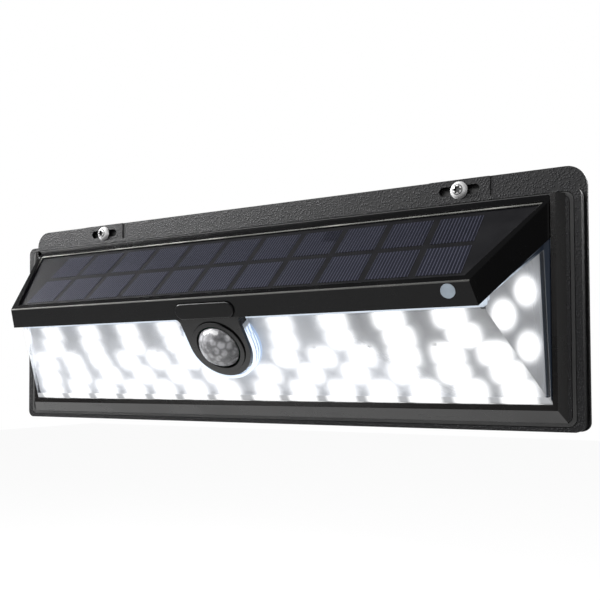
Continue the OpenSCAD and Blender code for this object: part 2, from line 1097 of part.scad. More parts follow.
module switch_board() {
    color([0.06, 0.3, 0.15])
    on_fascia()
        translate([-11, stem_y - 3.3, -switch_top - switch_h - 1.2])
            cube([22, 6.6, 1.18]);
}

module switch_leads() {
    color([0.9, 0.9, 0.85])
    for (s = [-1, 1])
        wire([
            [s * 1.5 + 7, -41.9, 3.4], [s * 1.5 + 9, -30, 6],
            [s * 1.5 + 18, -12, -1], [s * 1.5 + 18, -11, -3.5]
        ], 0.5);
}

module sensor_window() {
    color([0.7, 0.75, 0.85])
    on_fascia()
        translate([window_x, 1.4, -1.28])
            cylinder(r = window_r, h = 1.35);
}

module photocell() {
    color([0.8, 0.35, 0.1])
    on_fascia()
        translate([window_x, 1, -7.5]) {
            cylinder(r = 1.5, h = 5.2);
            for (s = [-0.6, 0.6])
                translate([s, 0, -1.6]) cylinder(r = 0.2, h = 1.7);
        }
}

module photocell_board() {
    color([0.06, 0.3, 0.15])
    on_fascia()
        translate([window_x, -0.7, -8.6])
            difference() {
                translate([-5, -3, 0]) cube([10, 5.4, 1]);
                for (s = [-0.6, 0.6])
                    translate([s, 1.7, -1]) cylinder(r = 0.24, h = 3);
            }
}

module photocell_leads() {
    color([0.9, 0.9, 0.85])
    for (s = [-1, 1])
        wire([
            [window_x - 3, -44.2, s * 1.3 + 2.2], [window_x - 14, -34, s * 1.3 + 5],
            [45, -27, s * 1.3 + 1], [32, -11, s * 1.3 - 4.2]
        ], 0.6, [90, 0, 0]);
}

// ---------- main board and battery ----------

module main_board() {
    color([0.05, 0.28, 0.14])
    difference() {
        plate_y(main_y + 0.02, main_y + main_t)
            translate([-main_w / 2, main_z - main_h / 2]) square([main_w, main_h]);
        for (x = [-main_w / 2 + 4, main_w / 2 - 4], z = [-1, 1])
            translate([x, 0, main_z + z * (main_h / 2 - 4)])
                rod_y(1.3, 0, 20);
    }
}

module board_box(x, z, w, h, t) {
    translate([x - w / 2, -main_y - main_t - t, z - h / 2])
        cube([w, t - eps, h]);
}

module board_chips() {
    color([0.04, 0.04, 0.04]) {
        board_box(-12, -14, 9.9, 3.9, 1.6);
        board_box(6, -14, 4.9, 3.9, 1.5);
        board_box(22, -24, 6.5, 6, 2.3);
        board_box(-30, -24, 4.9, 3.9, 1.5);
    }
}

module board_inductor() {
    color([0.2, 0.2, 0.22])
    board_box(-41, -24, 7, 7, 3.2);
}

module board_capacitors() {
    color([0.1, 0.12, 0.35])
    for (p = [[34, -12], [33, -22]])
        translate([p[0], 0, p[1]])
            rod_y(3.1, main_y + main_t + eps, main_y + main_t + 5.2);
}

module board_sockets() {
    color([0.9, 0.88, 0.8]) {
        board_box(6, -4.7, 7.5, 4, 3.6);
        board_box(18, -4.7, 7.5, 4, 3.6);
        board_box(32, -5.3, 5, 4, 3.6);
        board_box(-14, -22.8, 8, 4, 3.4);
        board_box(-41, -13, 4.6, 5, 3.6);
        board_box(41, -13, 4.6, 5, 3.6);
        board_box(-30, -5, 7.5, 4, 3.6);
    }
}

module board_screws() {
    color([0.7, 0.7, 0.7])
    for (x = [-main_w / 2 + 4, main_w / 2 - 4], z = [-1, 1])
        translate([x, 0, main_z + z * (main_h / 2 - 4)])
            difference() {
                union() {
                    rod_y(0.92, 2.2, main_y + main_t + 0.5);
                    rod_y(1.9, main_y + main_t + 0.05, main_y + main_t + 1.4);
                }
                cross_recess(0.45, 2.2, main_y + main_t + 0.7);
            }
}

module cross_recess(w, l, y0) {
    translate([-l / 2, -y0 - 3, -w / 2]) cube([l, 3, w]);
    translate([-w / 2, -y0 - 3, -l / 2]) cube([w, 3, l]);
}

module battery_cells() {
    color([0.1, 0.35, 0.65])
    for (s = [-1, 1])
        translate([s * battery_x - battery_l / 2, -battery_y, battery_z])
            rotate([0, 90, 0])
                cylinder(r = battery_r, h = battery_l);
}

module battery_caps() {
    color([0.8, 0.8, 0.78])
    for (s = [-1, 1], e = [-1, 1])
        translate([
            s * battery_x + e * (battery_l / 2 + 0.5), -battery_y, battery_z
        ])
            rotate([0, 90, 0]) {
                cylinder(r = 4, h = 0.96, center = true);
                translate([-3, -3, -0.15]) cube([6, 9, 0.3]);
            }
}

module battery_cradle() {
    color([0.08, 0.08, 0.08])
    difference() {
        for (s = [-1, 1], e = [-1, 1])
            translate([
                s * battery_x + e * 24 - 4, -battery_y + 2, battery_z - 11
            ])
                cube([8, battery_y - 2 - plate_t - 0.05, 22]);
        for (s = [-1, 1])
            translate([s * battery_x - 60, -battery_y, battery_z])
                rotate([0, 90, 0])
                    cylinder(r = battery_r + 0.55, h = 120);
    }
}

module battery_straps() {
    color([0.9, 0.9, 0.9])
    for (s = [-1, 1], e = [-1, 1])
        translate([s * battery_x + e * 24 - 2.5, -battery_y, battery_z])
            rotate([0, 90, 0])
                difference() {
                    cylinder(r = battery_r + 0.45, h = 5);
                    translate([0, 0, -1]) cylinder(r = battery_r + 0.02, h = 7);
                }
}

module battery_leads() {
    x = battery_x - battery_l / 2 - 1;
    for (s = [-1, 1])
        color(s > 0 ? [0.8, 0.1, 0.1] : [0.05, 0.05, 0.05])
            wire([
                [s * (x - 0.1), -battery_y + 3, battery_z],
                [s * (x - 4), -battery_y + 3, battery_z],
                [s * 30, -12, 2],
                [s < 0 ? -30 : 33.5, s < 0 ? -11 : -12, s < 0 ? -3.8 : 1.6]
            ], 0.7);
}

// ---------- fasteners ----------

module case_screws() {
    color([0.5, 0.5, 0.5])
    for (p = case_points())
        translate([p[0], 0, p[1]])
            difference() {
                union() {
                    rod_y(case_thread, 1, 8.2);
                    rod_y(case_head, 0.3, 1.88);
                }
                translate([-1.3, -1, -0.25]) cube([2.6, 1, 0.5]);
                translate([-0.25, -1, -1.3]) cube([0.5, 1, 2.6]);
            }
}

module wall_screws() {
    head_y = plate_t + pad_t + gap;
    color([0.85, 0.85, 0.85])
    for (s = [-1, 1])
        translate([s * slot_x, 0, slot_z])
            difference() {
                union() {
                    rod_y(neck_r, eps, head_y + 0.5);
                    rod_y(thread_r, -screw_out, 0.1);
                    translate([0, screw_out, 0])
                        rotate([-90, 0, 0])
                            cylinder(r1 = thread_r, r2 = 0.3, h = 4);
                    screw_head(head_y);
                }
                star_recess(head_y);
            }
}

// thin slide washers that close the slots from behind
module slot_washers() {
    color([0.03, 0.03, 0.03])
    for (s = [-1, 1])
        plate_y(0.28, 0.7)
            translate([s * slot_x, slot_z])
                difference() {
                    pill(33, 7.6);
                    circle(neck_r + 0.15);
                }
}

module screw_head(y) {
    crown = (head_r * head_r + head_t * head_t) / (2 * head_t);
    translate([0, -y, 0])
        rotate([90, 0, 0])
            rotate_extrude()
                intersection() {
                    translate([0, head_t - crown]) circle(crown);
                    square([head_r, head_t]);
                }
}

module star_recess(y) {
    translate([0, -y - head_t + 1.8, 0])
        rotate([90, 0, 0])
            linear_extrude(5) {
                circle(1.5);
                for (a = [0 : 60 : 300])
                    rotate([0, 0, a])
                        translate([1.5, 0]) circle(0.55);
            }
}

// ---------- build ----------

rear_housing();
housing_gasket();
front_frame();
solar_hood();
lens_cover();
lens_gasket();
solar_glass();
solar_cells();
solar_backsheet();
panel_tape();
panel_leads();
led_board_front();
led_board_left();
led_board_right();
leds_front();
leds_left();
leds_right();
led_resistors();
led_carrier();
led_leads();
pir_dome();
pir_ring();
pir_sensor();
pir_window();
pir_board();
pir_leads();
mode_button();
button_seal();
switch_board();
switch_body();
switch_plunger();
switch_leads();
sensor_window();
photocell();
photocell_board();
photocell_leads();
main_board();
board_chips();
board_inductor();
board_capacitors();
board_sockets();
board_screws();
battery_cells();
battery_caps();
battery_cradle();
battery_straps();
battery_leads();
case_screws();
wall_screws();
slot_washers();
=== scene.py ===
"""Looks of a solar wall flood light: sandy black case, glossy solar hood, lit lens and motion sensor."""

import json
import logging
import math
from dataclasses import dataclass, field
from enum import Enum
from typing import Any, Iterable, Sequence

import bmesh
import bpy
from mathutils import Matrix, Vector


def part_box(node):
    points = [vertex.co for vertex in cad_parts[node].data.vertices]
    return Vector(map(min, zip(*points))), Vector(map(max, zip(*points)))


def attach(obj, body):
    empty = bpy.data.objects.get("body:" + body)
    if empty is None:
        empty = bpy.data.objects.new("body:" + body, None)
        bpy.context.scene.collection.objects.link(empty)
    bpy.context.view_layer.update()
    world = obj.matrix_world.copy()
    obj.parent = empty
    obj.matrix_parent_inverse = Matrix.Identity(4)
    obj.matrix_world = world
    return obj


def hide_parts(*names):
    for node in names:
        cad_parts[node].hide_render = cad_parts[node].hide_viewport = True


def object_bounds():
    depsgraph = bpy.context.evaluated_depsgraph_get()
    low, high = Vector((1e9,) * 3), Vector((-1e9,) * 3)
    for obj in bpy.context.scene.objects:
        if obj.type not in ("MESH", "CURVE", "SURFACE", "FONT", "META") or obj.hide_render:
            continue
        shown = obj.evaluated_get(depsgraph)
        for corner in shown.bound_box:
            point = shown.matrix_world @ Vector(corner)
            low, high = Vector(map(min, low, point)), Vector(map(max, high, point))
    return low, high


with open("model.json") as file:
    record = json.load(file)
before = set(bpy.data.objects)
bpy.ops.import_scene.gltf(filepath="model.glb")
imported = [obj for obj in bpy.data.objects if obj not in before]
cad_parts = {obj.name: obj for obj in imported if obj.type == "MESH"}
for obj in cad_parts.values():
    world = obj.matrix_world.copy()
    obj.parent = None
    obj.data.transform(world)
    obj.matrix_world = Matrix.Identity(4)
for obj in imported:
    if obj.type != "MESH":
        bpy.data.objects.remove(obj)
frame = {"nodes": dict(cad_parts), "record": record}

CAD_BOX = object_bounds()
MM = 0.001
log = logging.getLogger("flood_light")


# --------------------------------------------------------------------------- shader helpers


class Val:
    """A number carried by a shader socket, so that shader maths reads as plain expressions."""

    def __init__(self, nodes: "Nodes", socket: bpy.types.NodeSocket) -> None:
        """Wraps a socket of the given node builder."""
        self.nodes = nodes
        self.socket = socket

    def _math(self, operation: str, *others: Any) -> "Val":
        """Adds a Math node on this value and others.

        Args:
            operation: Blender's name of the operation.
            others: further operands, numbers or values.

        Returns:
            The result as a value.
        """
        node = self.nodes.add("ShaderNodeMath", {"operation": operation}, self, *others)
        return Val(self.nodes, node.outputs[0])

    def _swapped(self, operation: str, other: Any) -> "Val":
        """Adds a Math node with the operands in the other order."""
        node = self.nodes.add("ShaderNodeMath", {"operation": operation}, other, self)
        return Val(self.nodes, node.outputs[0])

    def __add__(self, other: Any) -> "Val":
        """Sum."""
        return self._math("ADD", other)

    __radd__ = __add__

    def __sub__(self, other: Any) -> "Val":
        """Difference."""
        return self._math("SUBTRACT", other)

    def __rsub__(self, other: Any) -> "Val":
        """Difference from a number."""
        return self._swapped("SUBTRACT", other)

    def __mul__(self, other: Any) -> "Val":
        """Product."""
        return self._math("MULTIPLY", other)

    __rmul__ = __mul__

    def __truediv__(self, other: Any) -> "Val":
        """Quotient."""
        return self._math("DIVIDE", other)

    def __pow__(self, other: Any) -> "Val":
        """Power."""
        return self._math("POWER", other)

    def __abs__(self) -> "Val":
        """Magnitude."""
        return self._math("ABSOLUTE")

    def __lt__(self, other: Any) -> "Val":
        """1 where this value is below the other, else 0."""
        return self._math("LESS_THAN", other)

    def least(self, other: Any) -> "Val":
        """The smaller of two values."""
        return self._math("MINIMUM", other)

    def most(self, other: Any) -> "Val":
        """The larger of two values."""
        return self._math("MAXIMUM", other)

    def clamp(self, low: float = 0.0, high: float = 1.0) -> "Val":
        """Keeps the value between two limits."""
        return self.most(low).least(high)

    def floor(self) -> "Val":
        """Whole part below."""
        return self._math("FLOOR")

    def nearest(self) -> "Val":
        """Nearest whole number."""
        return self._math("ROUND")

    def part(self) -> "Val":
        """Part after the point."""
        return self._math("FRACT")

    def root(self) -> "Val":
        """Square root."""
        return self._math("SQRT")

    def falloff(self) -> "Val":
        """e to the power of minus this value."""
        return (self * -1.0)._math("EXPONENT")

    def ease(self, start: float, end: float) -> "Val":
        """0 before start, 1 after end, and a smooth rise between."""
        node = self.nodes.add(
            "ShaderNodeMapRange", {"interpolation_type": "SMOOTHSTEP"}, self, start, end, 0.0, 1.0
        )
        return Val(self.nodes, node.outputs[0])


class Nodes:
    """Builds the node tree of one material."""

    def __init__(self, tree: bpy.types.NodeTree) -> None:
        """Empties the tree and keeps it."""
        self.tree = tree
        tree.nodes.clear()
        self._coords: bpy.types.NodeSocket | None = None

    def add(
        self, kind: str, settings: dict[str, Any] | None = None, *values: Any, **named: Any
    ) -> bpy.types.Node:
        """Adds one node.

        Args:
            kind: the node's type name.
            settings: attributes of the node, set before its sockets.
            values: numbers or links for the first sockets, in order; None leaves one alone.
            named: numbers or links by socket name, with _ for a space.

        Returns:
            The new node.
        """
        node = self.tree.nodes.new(kind)
        for key, value in (settings or {}).items():
            setattr(node, key, value)
        for slot, value in enumerate(values):
            self._feed(node.inputs[slot], value)
        for key, value in named.items():
            self._feed(node.inputs[key.replace("_", " ")], value)
        return node

    def _feed(self, socket: bpy.types.NodeSocket, value: Any) -> None:
        """Links or sets one socket."""
        if value is None:
            return
        if isinstance(value, Val):
            self.tree.links.new(value.socket, socket)
        elif isinstance(value, bpy.types.NodeSocket):
            self.tree.links.new(value, socket)
        elif socket.type == "RGBA":
            socket.default_value = (*value[:3], 1.0)
        else:
            socket.default_value = value

    @property
    def coords(self) -> bpy.types.NodeSocket:
        """Object coordinates, in metres, the same as the frame's."""
        if self._coords is None:
            self._coords = self.add("ShaderNodeTexCoord").outputs["Object"]
        return self._coords

    def axes(self, origin: Vector, directions: Sequence[Vector]) -> list[Val]:
        """Distances of the shaded point from an origin along given directions.

        Args:
            origin: the point to measure from, in metres.
            directions: unit vectors.

        Returns:
            One value for each direction, in metres.
        """
        away = self.add(
            "ShaderNodeVectorMath", {"operation": "SUBTRACT"}, self.coords, tuple(origin)
        ).outputs[0]
        found = []
        for d in directions:
            dot = self.add("ShaderNodeVectorMath", {"operation": "DOT_PRODUCT"}, away, tuple(d))
            found.append(Val(self, dot.outputs["Value"]))
        return found

    def distance(self, point: Vector) -> Val:
        """Distance of the shaded point from a given point, in metres."""
        node = self.add("ShaderNodeVectorMath", {"operation": "DISTANCE"}, self.coords, tuple(point))
        return Val(self, node.outputs["Value"])

    def noise(
        self, scale: float, detail: float = 2.0, rough: float = 0.5, stretch: Vector | None = None
    ) -> Val:
        """Smooth noise.

        Args:
            scale: waves per metre.
            detail: octaves.
            rough: how strong the finer octaves are.
            stretch: optional factors along the three axes.

        Returns:
            Noise from 0 to 1.
        """
        at: Any = self.coords
        if stretch is not None:
            at = self.add("ShaderNodeMapping", None, Vector=at, Scale=tuple(stretch)).outputs[0]
        node = self.add(
            "ShaderNodeTexNoise", None, Vector=at, Scale=scale, Detail=detail, Roughness=rough
        )
        return Val(self, node.outputs["Fac"])

    def cells(self, scale: float, feature: str = "F1") -> Val:
        """Distance to the nearest of scattered points, for grains and specks."""
        node = self.add(
            "ShaderNodeTexVoronoi", {"feature": feature}, Vector=self.coords, Scale=scale
        )
        return Val(self, node.outputs["Distance"])

    def blend(self, mask: Any, low: Any, high: Any) -> bpy.types.NodeSocket:
        """Mixes two colours by a mask."""
        node = self.add("ShaderNodeMix", {"data_type": "RGBA"})
        self._feed(node.inputs["Factor"], mask)
        self._feed(node.inputs[6], low)
        self._feed(node.inputs[7], high)
        return node.outputs[2]

    def bump(self, height: Val, depth: float) -> bpy.types.NodeSocket:
        """Turns a height from 0 to 1 into a normal.

        Args:
            height: the height value.
            depth: metres between height 0 and height 1.

        Returns:
            The normal socket.
        """
        node = self.add("ShaderNodeBump", None, Strength=1.0, Distance=depth, Height=height)
        return node.outputs[0]

    def surface(self, **sockets: Any) -> None:
        """Ends the tree in a Principled shader with the given sockets."""
        shader = self.add("ShaderNodeBsdfPrincipled", None, **sockets)
        out = self.add("ShaderNodeOutputMaterial")
        self.tree.links.new(shader.outputs[0], out.inputs[0])


@dataclass(frozen=True)
class Finish:
    """A finish that dresses pieces; each kind paints its own node tree."""

    name: str

    def paint(self, n: Nodes) -> None:
        """Builds the nodes; each kind of finish has its own."""
        raise NotImplementedError

    def material(self) -> bpy.types.Material:
        """Returns this finish's material, made once."""
        found = bpy.data.materials.get(self.name)
        if found is None:
            found = bpy.data.materials.new(self.name)
            found.use_nodes = True
            self.paint(Nodes(found.node_tree))
        return found


# --------------------------------------------------------------------------- finishes


@dataclass(frozen=True)
class SandedPlastic(Finish):
    """Black ABS with a coarse spark-eroded grain."""

    colour: tuple[float, float, float] = (0.005, 0.005, 0.0056)
    grain: float = 950.0
    depth: float = 0.0002
    roughness: float = 0.46

    def paint(self, n: Nodes) -> None:
        """Pebbled grain with painted glints on the pebble crowns, and faint dust."""
        pebble = n.cells(self.grain)
        fine = n.noise(self.grain * 1.9, 2.0, 0.6)
        height = (1.0 - pebble.ease(0.1, 0.6)) * 0.7 + fine * 0.3
        dust = n.noise(38.0, 4.0, 0.6).ease(0.52, 0.8)
        # Painted highlight: small bright glints on the pebble crowns, mixed into the colour with the dust.
        painted_crown_glint = (1.0 - pebble.ease(0.12, 0.34)) * fine.ease(0.4, 0.6)
        tone = n.blend((dust * 0.15 + painted_crown_glint * 0.9).clamp(), self.colour, [c * 5.0 for c in self.colour])
        n.surface(
            Base_Color=tone,
            Roughness=(self.roughness + dust * 0.14 + (1.0 - height) * 0.12).clamp(0.05, 1.0),
            Normal=n.bump(height, self.depth),
            Specular_IOR_Level=0.22,
        )


@dataclass(frozen=True)
class GlossPlastic(Finish):
    """Smooth moulded plastic with faint flow ripples, hairlines and dust."""

    colour: tuple[float, float, float] = (0.0035, 0.0035, 0.004)
    roughness: float = 0.22
    ripple: float = 0.00003
    coat: float = 0.12
    # edge: forward distance and height of the edge that carries the painted highlight.
    edge: tuple[float, float] | None = None
    edge_width: tuple[float, float] = (0.0003, 0.0007)

    def paint(self, n: Nodes) -> None:
        """Ripples, hairline scratches and scattered dust over a dark body, with a painted highlight along an
        edge.
        """
        ripple = n.noise(170.0, 3.0, 0.5)
        hair = n.noise(420.0, 2.0, 0.7, Vector((0.12, 1.0, 1.0))).ease(0.6, 0.78)
        dust = n.cells(900.0).ease(0.16, 0.05) * n.noise(60.0, 3.0).ease(0.45, 0.75)
        smear = n.noise(26.0, 4.0, 0.6).ease(0.4, 0.8)
        body: Any = n.blend(dust * 0.5 + smear * 0.2, self.colour, [c * 2.5 + 0.008 for c in self.colour])
        # Painted highlight: a pale grey line along the edge, weaker towards the right, for the light caught
        # on the rounded edge.
        if self.edge is not None:
            forward, height = n.axes(
                Vector((0.0, -self.edge[0], self.edge[1])), [Vector((0, -1, 0)), Vector((0, 0, 1))]
            )
            side, = n.axes(Vector((0, 0, 0)), [Vector((1, 0, 0))])
            away = (forward ** 2.0 + height ** 2.0).root()
            painted_edge_highlight = (1.0 - away.ease(*self.edge_width)) * (1.0 - side.ease(-0.16, 0.2) * 0.6)
            body = n.blend(painted_edge_highlight * (0.7 + hair * 0.3), body, (0.22, 0.22, 0.21))
        n.surface(
            Base_Color=body,
            Roughness=(self.roughness + smear * 0.1 + hair * 0.08 + dust * 0.3).clamp(0.05, 1.0),
            Normal=n.bump(ripple + hair * -0.25, self.ripple),
            Coat_Weight=(self.coat - smear * 0.08).clamp(),
            Coat_Roughness=0.12,
            Specular_IOR_Level=0.26,
        )


@dataclass(frozen=True)
class Moulded(Finish):
    """A plain moulded or coated part with grain, mottling and a soft bump."""

    colour: tuple[float, float, float] = (0.5, 0.5, 0.5)
    roughness: float = 0.5
    grain: float = 1200.0
    depth: float = 0.00004
    metallic: float = 0.0

    def paint(self, n: Nodes) -> None:
        """Mottled colour, uneven roughness and fine grain."""
        patch = n.noise(90.0, 4.0, 0.6)
        grain = n.noise(self.grain, 3.0, 0.6)
        dark = [c * 0.82 for c in self.colour]
        light = [min(1.0, c * 1.12 + 0.004) for c in self.colour]
        n.surface(
            Base_Color=n.blend(patch.ease(0.3, 0.7), dark, light),
            Roughness=(self.roughness + patch * 0.12 - 0.06 + grain * 0.08).clamp(0.04, 1.0),
            Metallic=self.metallic,
            Normal=n.bump(grain, self.depth),
        )


@dataclass(frozen=True)
class FloorPaper(Finish):
    """Pale seamless paper, evenly lit from below."""

    glow: float = 0.7
    share_for_object: float = 0.12

    def paint(self, n: Nodes) -> None:
        """Faint mottling in an almost white sheet, which lights the object only softly."""
        mottle = n.noise(3.0, 3.0, 0.5)
        tone = n.blend(mottle, (0.30, 0.30, 0.30), (0.33, 0.33, 0.33))
        seen = n.add("ShaderNodeLightPath").outputs["Is Camera Ray"]
        n.surface(
            Base_Color=tone,
            Roughness=(0.9 + mottle * 0.05),
            Emission_Color=n.blend(seen, [self.glow * self.share_for_object] * 3, [self.glow] * 3),
            Emission_Strength=1.0,
        )


@dataclass(frozen=True)
class TurnedMetal(Finish):
    """Plated steel with turning rings round an axis along Y."""

    colour: tuple[float, float, float] = (0.74, 0.74, 0.74)
    roughness: float = 0.2
    centres: tuple[tuple[float, float, float], ...] = ()
    recess: tuple[float, float] = (0.0026, 0.00035)
    metallic: float = 1.0

    def paint(self, n: Nodes) -> None:
        """Fine rings round the screw axes, tarnished patches, small pits and painted shade darkening the
        star recess.
        """
        tarnish_and_recess_shade = n.noise(420.0, 4.0, 0.6).ease(0.45, 0.8)
        pits = n.cells(2600.0).ease(0.22, 0.1)
        height = pits * -0.6
        if self.centres:
            away = n.distance(Vector(self.centres[0]))
            for c in self.centres[1:]:
                away = away.least(n.distance(Vector(c)))
            rings = abs((away * 9000.0).part() - 0.5) * 2.0
            height = height + rings * 0.3
            inward, = n.axes(Vector(self.centres[0]), [Vector((0, 1, 0))])
            across = (away ** 2.0 - inward ** 2.0).most(0.0).root()
            # Painted shade: the star recess in each head is darkened almost to black for the shade inside
            # it.
            painted_recess_shade = inward.ease(self.recess[1] * 0.5, self.recess[1]) * (across < self.recess[0])
            tarnish_and_recess_shade = (tarnish_and_recess_shade + painted_recess_shade * 1.6).clamp(0.0, 1.6)
        n.surface(
            Base_Color=n.blend(tarnish_and_recess_shade * 0.6, self.colour, [c * 0.05 for c in self.colour]),
            Metallic=self.metallic,
            Roughness=(self.roughness + tarnish_and_recess_shade * 0.22 + pits * 0.2).clamp(0.05, 1.0),
            Normal=n.bump(height, 0.00002),
        )


@dataclass(frozen=True)
class SolarCells(Finish):
    """Blue-black silicon with fine silver fingers down the slope."""

    pitch: float = 0.024
    side: float = 0.0203
    fingers: int = 13
    silicon: tuple[float, float, float] = (0.008, 0.0085, 0.015)
    silver: tuple[float, float, float] = (0.16, 0.165, 0.22)

    def paint(self, n: Nodes) -> None:
        """Fingers by the position along the row, with each cell its own shade."""
        x, y, z = n.axes(Vector((0, 0, 0)), [Vector((1, 0, 0)), Vector((0, 1, 0)), Vector((0, 0, 1))])
        column = (x / self.pitch).nearest()
        inside = x - column * self.pitch + self.side / 2.0
        step = self.side / self.fingers
        line = abs((inside / step).part() - 0.5)
        finger = line.ease(0.34, 0.44)
        row = (z * 38.0).floor()
        seed = n.add(
            "ShaderNodeTexWhiteNoise",
            {"noise_dimensions": "2D"},
            Vector=n.add("ShaderNodeCombineXYZ", None, column, row).outputs[0],
        ).outputs["Value"]
        crystal = n.noise(130.0, 3.0, 0.6)
        shade = Val(n, seed) * 0.5 + crystal * 0.5
        body = n.blend(shade, [c * 0.75 for c in self.silicon], [c * 1.3 for c in self.silicon])
        n.surface(
            Base_Color=n.blend(finger * 0.75, body, self.silver),
            Metallic=(finger * 0.35),
            Roughness=(0.38 + crystal * 0.1 - finger * 0.05).clamp(),
            Normal=n.bump(finger, 0.00003),
            Coat_Weight=(0.05 + crystal * 0.05),
            Specular_IOR_Level=0.3,
        )


@dataclass(frozen=True)
class PanelGlass(Finish):
    """Clear laminate that lies over the cells, with a faint haze."""

    haze: float = 0.02
    top: float = 1.0
    flank: float = 1.0
    taper: float = 0.56

    def paint(self, n: Nodes) -> None:
        """Almost clear face on, glossier at a glancing angle, with a painted highlight line along its top
        and side edges.
        """
        side, forward, height = n.axes(
            Vector((0.0, 0.0, 0.0)), [Vector((1, 0, 0)), Vector((0, -1, 0)), Vector((0, 0, 1))]
        )
        # Painted highlight: a pale opaque line along the top edge and, weaker, along the side edges.
        painted_rim_highlight = height.ease(self.top - 0.0009, self.top - 0.0006).most(
            (abs(side) + forward * self.taper).ease(self.flank - 0.0008, self.flank - 0.0005) * 0.75
        ) * (0.55 + n.noise(35.0, 2.0).ease(0.35, 0.65) * 0.45)
        film = n.noise(45.0, 4.0, 0.55)
        glance = Val(n, n.add("ShaderNodeFresnel", None, IOR=1.45).outputs[0])
        dust = n.cells(1100.0).ease(0.12, 0.04) * n.noise(70.0, 3.0).ease(0.5, 0.75)
        n.surface(
            Base_Color=n.blend(dust.most(painted_rim_highlight), (0.008, 0.008, 0.010), (0.3, 0.3, 0.28)),
            Alpha=(self.haze + glance * 0.3 + dust * 0.15 + film * 0.02 + painted_rim_highlight).clamp(),
            Roughness=(0.12 + film * 0.10 + dust * 0.3).clamp(),
            Normal=n.bump(n.noise(60.0, 2.0), 0.00003),
            Specular_IOR_Level=0.3,
        )


@dataclass(frozen=True)
class ClearLens(Finish):
    """Water-clear polycarbonate, with painted glow along its top edge, round the sensor collar and under the
    hood cheeks, painted glow over the lowest lamps, and painted shade where the frame shades it.
    """

    centre: tuple[float, float, float] = (0.0, 0.0, 0.0)
    out: tuple[float, float, float] = (0.0, -1.0, 0.0)
    up: tuple[float, float, float] = (0.0, 0.0, 1.0)
    collar: tuple[float, float] = (0.0186, 0.0206)
    corner_x: float = 0.1392
    corner_y: float = 0.0432
    corner_z: float = -0.0073
    side_normal: tuple[float, float] = (0.825, -0.565)
    top_edge: tuple[float, float] = (0.0130, 0.0134)
    cheek_front: tuple[float, float] = (0.0513, -0.00555)
    cheek_rise: float = 0.8506
    cheek_band: float = 0.0024
    shade: tuple[float, float] = (0.0168, 0.0385)
    foot: tuple[float, float] = (-0.0442, -0.0439)
    low_row: tuple[float, float, int] = (0.0122, 0.0221, 7)

    def paint(self, n: Nodes) -> None:
        """Low alpha with Fresnel gloss; painted glowing lines on the top edge, the collar and under the
        hood; painted glow pools at the foot; a dark painted shade at the back of the side facets.
        """
        glance = Val(n, n.add("ShaderNodeFresnel", None, IOR=1.5).outputs[0])
        along, above = n.axes(Vector(self.centre), [Vector(self.out), Vector(self.up)])
        side, forward, height = n.axes(
            Vector((0.0, 0.0, 0.0)), [Vector((1, 0, 0)), Vector((0, -1, 0)), Vector((0, 0, 1))]
        )
        front_in, side_in = n.axes(
            Vector((0.0, -self.corner_y, self.corner_z)),
            [Vector(self.out), Vector((0.0, self.side_normal[1], 0.0))],
        )
        beside = (abs(side) - self.corner_x) * self.side_normal[0] + side_in
        flank = (
            abs(side).ease(self.corner_x, self.corner_x + 0.0008)
            * (1.0 - front_in.ease(-0.0009, -0.0004)) * beside.ease(-0.0024, -0.0019)
        )
        radius = (n.distance(Vector(self.centre)) ** 2.0 - along ** 2.0).most(0.0).root()
        # Painted glow: blue and white stripes on the collar round the sensor ring, for light caught in the
        # lens wall there.
        ring = radius.ease(self.collar[0] - 0.0006, self.collar[0]) * (
            1.0 - radius.ease(self.collar[1], self.collar[1] + 0.0008)
        ) * along.ease(-0.004, -0.0005)
        streak = n.noise(300.0, 3.0, 0.6, Vector((0.4, 1.0, 1.0)))
        lines = abs((along * 420.0 + streak * 0.4).part() - 0.5) * 2.0
        # Painted glow: a bright line along the top edge of the lens, just under the hood.
        edge = above.ease(*self.top_edge) * (1.0 - flank)
        # Painted glow: a band on the side facets just under the hood cheek, with a dark line along it,
        # bright at the front and fading towards the back.
        cheek = (self.cheek_front[1] + (self.cheek_front[0] - forward) * self.cheek_rise - height) * 0.7617
        under = (1.0 - cheek.ease(self.cheek_band - 0.0002, self.cheek_band)) * flank
        fade = forward.ease(0.018, 0.040) * (0.55 + streak.ease(0.3, 0.7) * 0.45)
        line = abs(cheek - self.cheek_band * 0.55).ease(0.0001, 0.0004)
        # Painted shade: a dark opaque strip at the back of the side facets, where the frame shades the lens.
        painted_rear_shade = (1.0 - (forward - height * self.shade[1] - self.shade[0]).ease(-0.0003, 0.0002)) * flank
        # Painted glow: the foot of the lens turns opaque and glows, brightest over each lamp of the lowest
        # row.
        foot = (1.0 - height.ease(*self.foot)) * (1.0 - painted_rear_shade)
        first, pitch, count = self.low_row
        step = ((abs(side) - first) / pitch).nearest().clamp(0.0, count - 1.0)
        lamp = 1.0 - abs(abs(side) - first - step * pitch).ease(0.0068, 0.0098)
        pools = foot * (0.32 + lamp * 0.68)
        solid = (edge * 0.8 + ring * 0.75 + under + painted_rear_shade + foot).clamp()
        lit = (edge * (0.5 + streak * 0.5) + ring * lines.ease(0.15, 0.5) + under * fade * line).clamp()
        tint = n.blend(lit, n.blend(ring, (0.0, 0.0, 0.0), (0.12, 0.22, 0.42)), (0.78, 0.88, 1.0))
        n.surface(
            Base_Color=n.blend(solid, (0.92, 0.95, 1.0), (0.02, 0.03, 0.05)),
            Alpha=(0.02 + glance * 0.5 + solid).clamp(),
            Roughness=(0.05 + n.noise(80.0, 3.0) * 0.06 + painted_rear_shade * 0.25).clamp(),
            Normal=n.bump(n.noise(120.0, 2.0), 0.00002),
            Emission_Color=n.blend(pools, tint, (1.05, 1.05, 1.05)),
            Emission_Strength=1.0,
        )


@dataclass(frozen=True)
class LampRow:
    """One row of lamps on a board, mirrored about the middle."""

    down: float
    first: float
    pitch: float
    count: int


